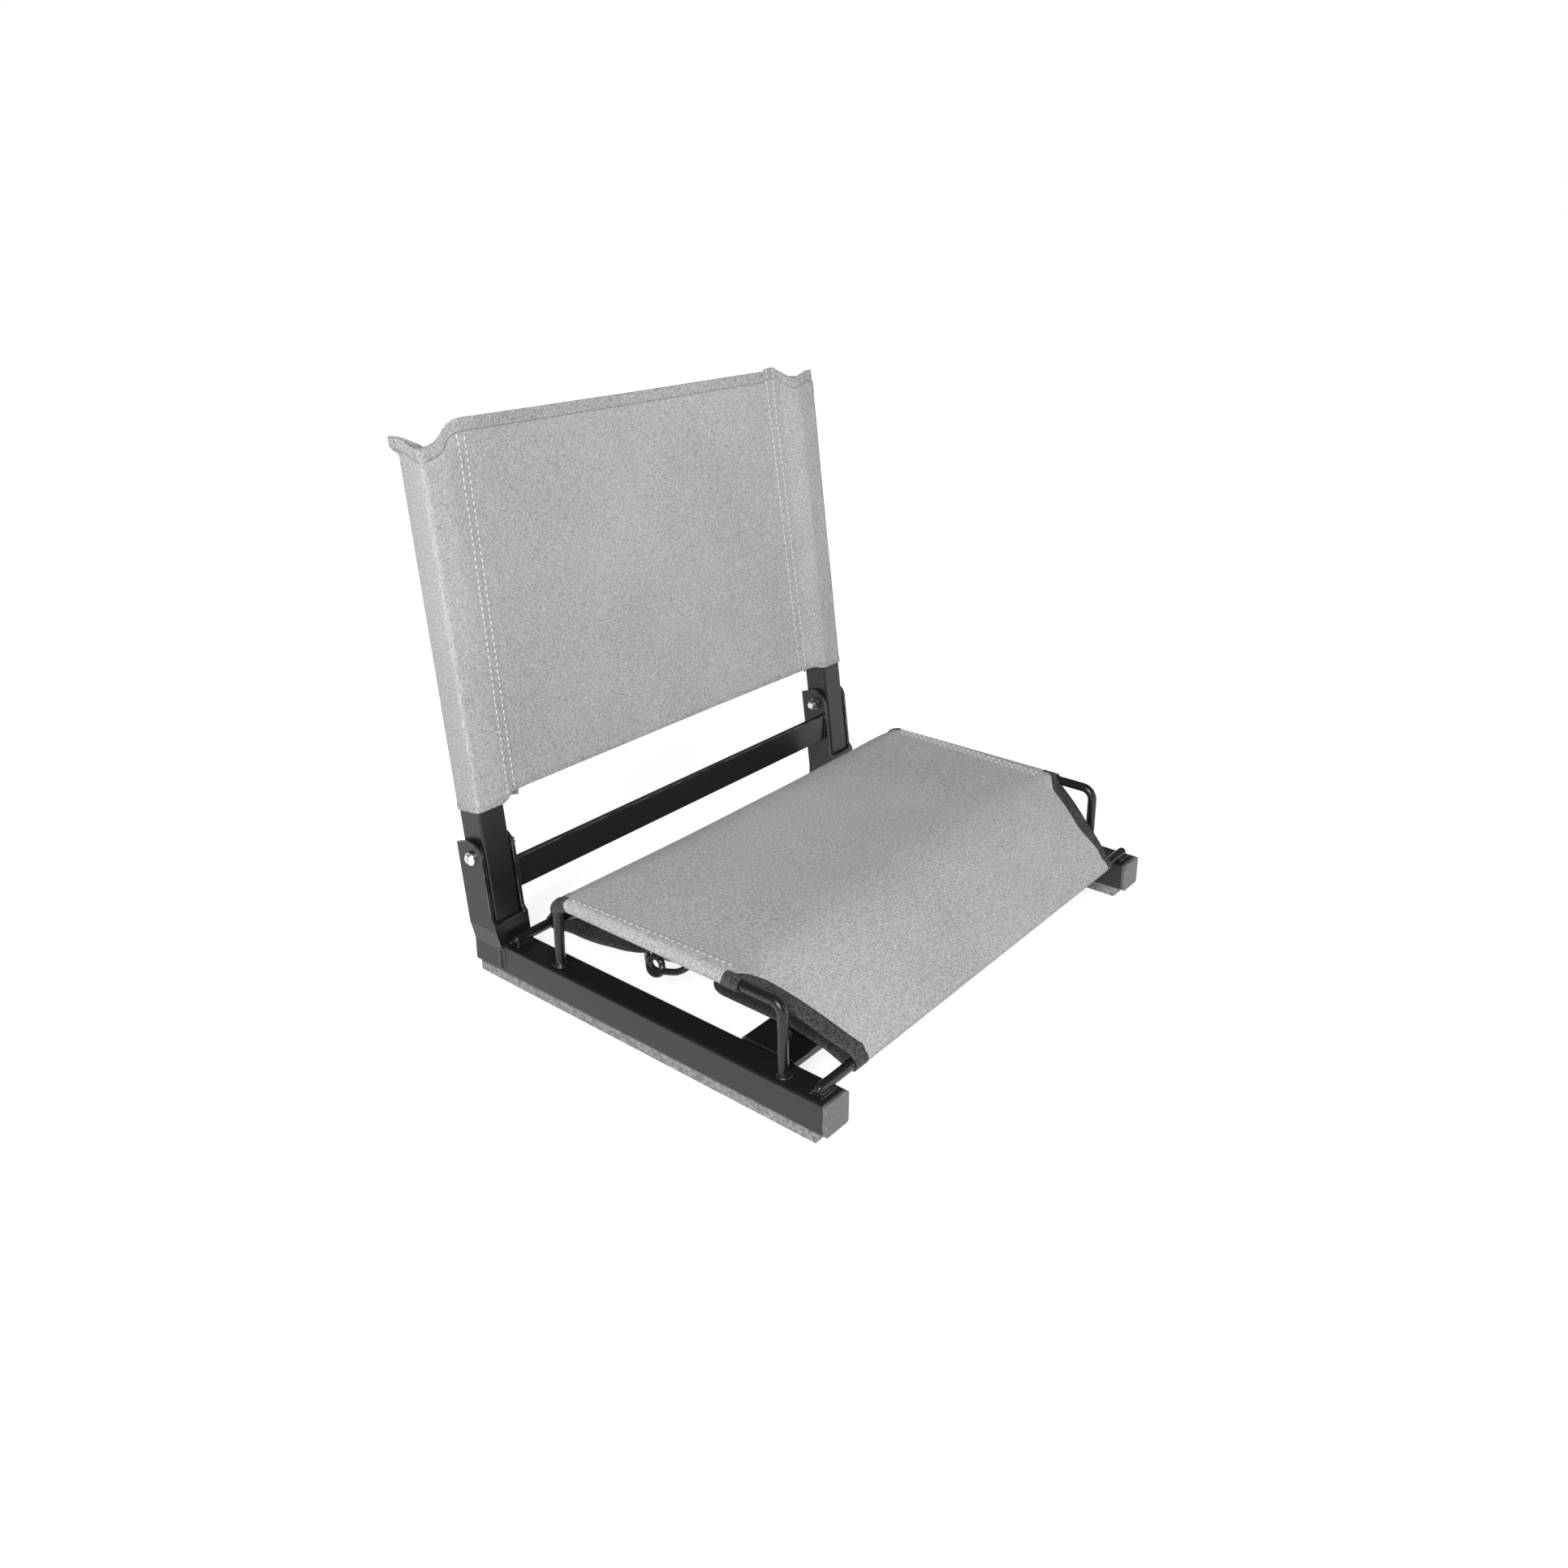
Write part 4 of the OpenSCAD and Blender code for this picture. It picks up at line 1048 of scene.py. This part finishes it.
made = newPiece("backThread", sewingThread, "back", "grey_cloth")
for side, name in ((-1, "leftRows"), (1, "rightRows")):
    for high, low in back[name]:
        top = topEdge(side * high, -5, "front")
        end = top - (back["hem"] + 0.5 if side < 0 else 0)  # the left rows stop below the hem
        line = []
        for u in np.linspace(lowEdge(side * low, "front") + 2, end, 90):
            x = side * blendOf(low, high, (u - back["low"]) / 300)
            p = backPoint(x, frontAt(x), "panel" if abs(x) <= inner else "front", u)
            proud = 0.1 + 0.9 * smooth((u - top + back["hem"] + 1) / 1.5)
            line.append(p + frontOut(x) * (back["thick"] / 2 + proud) * mm)
        stitchRow(made, line, threadOut)
# a fine row along the top hem
line = []
for x in np.linspace(-tubeX - 4, tubeX + 4, 200):
    v = frontAt(x)
    part = "panel" if abs(x) <= inner else "front"
    u = topEdge(x, v, part) - back["hem"] + 1.6
    line.append(backPoint(x, v, part, u) + frontOut(x) * mm)
hemLook = dict(thread, stitch=2.6, gap=1.4, width=0.5, proud=0.15)
hemMade = newPiece("backHemThread", hemThreadGrey, "back", "grey_cloth")
stitchRow(hemMade, line, threadOut, hemLook)
backThread = finishPiece(made)
backHemThread = finishPiece(hemMade)
print("back thread made")

# weld beads
weld = {
    "legs": 1.5, "bars": 1.5, "rods": 1.4, "flanges": 1.6,  # radius of each bead
    "flangeBack": 28.5, "flangeZ": (13, 30),  # of the brackets' front edges, from the brackets' rear end
    "shift": 1.7,  # of the unevenness, from bead to bead
}


def weldBead(made, path, radius, phase, ring):
    line = resample(path, 0.0008)
    last = len(line) - 1

    def radiusAt(run, i):
        end = 1 if ring else min(1, 0.45 + 0.25 * min(i, last - i))
        uneven = 0.14 * math.sin(run * 2500 + phase) + 0.1 * math.sin(run * 900 + phase * 3)
        return radius * mm * end * (1 + uneven)

    tube(made, line, radiusAt, 9)


(railLow, railHigh), (barLow, barHigh), (plateLow, plateHigh) = (
    [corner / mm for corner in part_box(name)] for name in ("right_rail", "rear_crossbar", "front_plate"))
railX, railTop = (railLow.x + railHigh.x) / 2, railHigh.z
flangeEnd = (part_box("left_bracket")[1].y - frontY) / mm - weld["flangeBack"]
wireEnds = [(wireLow.y - frontY) / mm + rodR, (wireHigh.y - frontY) / mm - rodR]
beads = []
for side in (-1, 1):
    for y in wireEnds:
        r = rodR + 0.7
        path = [place(side * wireX + r * math.cos(a), y + r * math.sin(a), railTop + 0.7)
                for a in np.linspace(0, 2 * math.pi, 28)]
        beads.append((path, "legs"))
    for y in rodMid.values():
        for way in (-1, 1):
            path = [place(side * x, y + way * (rodR + 0.6), railTop + 0.6) for x in (railX - 8, railX + 8)]
            beads.append((path, "rods"))
    for edge, way in ((barLow.y, -1), (barHigh.y, 1)):
        y = edge - frontY / mm
        path = [place(side * (barHigh.x - 0.6), y + way * 0.5, z) for z in (barLow.z + 1, barHigh.z - 1)]
        beads.append((path, "bars"))
    y0, y1 = (corner - frontY / mm for corner in (plateLow.y, plateHigh.y))
    path = [place(side * (plateHigh.x - 0.7), y, plateHigh.z + 0.4) for y in (y0 + 2, y1 - 2)]
    beads.append((path, "bars"))
    for face in (railLow.x, railHigh.x):
        x = face + math.copysign(0.6, face - railX)
        path = [place(side * x, flangeEnd - 0.4, z) for z in weld["flangeZ"]]
        beads.append((path, "flanges"))
made = newPiece("weldBeads", weldSteel, "base", "black_steel")
phase = 0.0
for path, kind in beads:
    weldBead(made, path, weld[kind], phase, kind == "legs")
    phase += weld["shift"]
finishPiece(made)
print("weld beads made")

# light, floor and backdrop
light = {
    "key": 57.0, "keySpot": (-1.9, -1.0, 1.35), "keySize": 1.1,
    "fill": 15.0, "fillSpot": (0.9, -2.3, 0.75), "fillSize": 1.6,
    "aim": (0, 0, 0.15), "sky": 0.2, "band": 0.22,
    "whiteNear": 0.3, "whiteFar": 1.1, "shadowLift": 0.75,  # how the floor turns white away from the seat
}


def lamp(name, spot, size, power):
    data = bpy.data.lights.new(name, "AREA")
    data.energy, data.size = power, size
    item = bpy.data.objects.new(name, data)
    bpy.context.scene.collection.objects.link(item)
    item.location = spot
    item.rotation_euler = (Vector(light["aim"]) - Vector(spot)).to_track_quat("-Z", "Y").to_euler()


lamp("keyLamp", light["keySpot"], light["keySize"], light["key"])
lamp("fillLamp", light["fillSpot"], light["fillSize"], light["fill"])


def cameraSees(tree):  # 1 for what the camera sees directly, in a mirror or through glass
    path = addNode(tree, "ShaderNodeLightPath")
    both = calc(tree, "MAXIMUM", path.outputs["Is Camera Ray"], path.outputs["Is Glossy Ray"])
    return calc(tree, "MAXIMUM", both, path.outputs["Is Transmission Ray"])


world = bpy.data.worlds.new("studio")
bpy.context.scene.world = world
world.use_nodes = True
tree = world.node_tree
background = tree.nodes["Background"]
height = addNode(tree, "ShaderNodeSeparateXYZ")
tree.links.new(addNode(tree, "ShaderNodeTexCoord").outputs["Generated"], height.inputs[0])
dome = remap(tree, height.outputs[2], 0.2, 0.34, light["band"], light["sky"])
path = addNode(tree, "ShaderNodeLightPath")
tree.links.new(remap(tree, path.outputs["Is Camera Ray"], 0, 1, dome, 1.0), background.inputs["Strength"])
background.inputs["Color"].default_value = (1, 1, 1, 1)

floorMat, tree, shader = newMaterial("studioFloor")
setInputs(shader, {"Base Color": (0.75, 0.75, 0.75, 1), "Roughness": 0.9, "Specular IOR Level": 0.1,
                   "Emission Color": (1, 1, 1, 1)})
spot = addNode(tree, "ShaderNodeTexCoord").outputs["Object"]
away = addNode(tree, "ShaderNodeVectorMath", operation="LENGTH")
tree.links.new(spot, away.inputs[0])
lift = remap(tree, away.outputs["Value"], light["whiteNear"], light["whiteFar"], light["shadowLift"], 1.0)
tree.links.new(calc(tree, "MULTIPLY", cameraSees(tree), lift), shader.inputs["Emission Strength"])
floorMesh = bmesh.new()
bmesh.ops.create_grid(floorMesh, x_segments=8, y_segments=8, size=30)
floorData = bpy.data.meshes.new("floor")
floorMesh.to_mesh(floorData)
floorMesh.free()
floorData.materials.append(floorMat)
floor = bpy.data.objects.new("floor", floorData)
bpy.context.scene.collection.objects.link(floor)

bpy.context.scene.view_settings.view_transform = "Standard"
print("scene made")
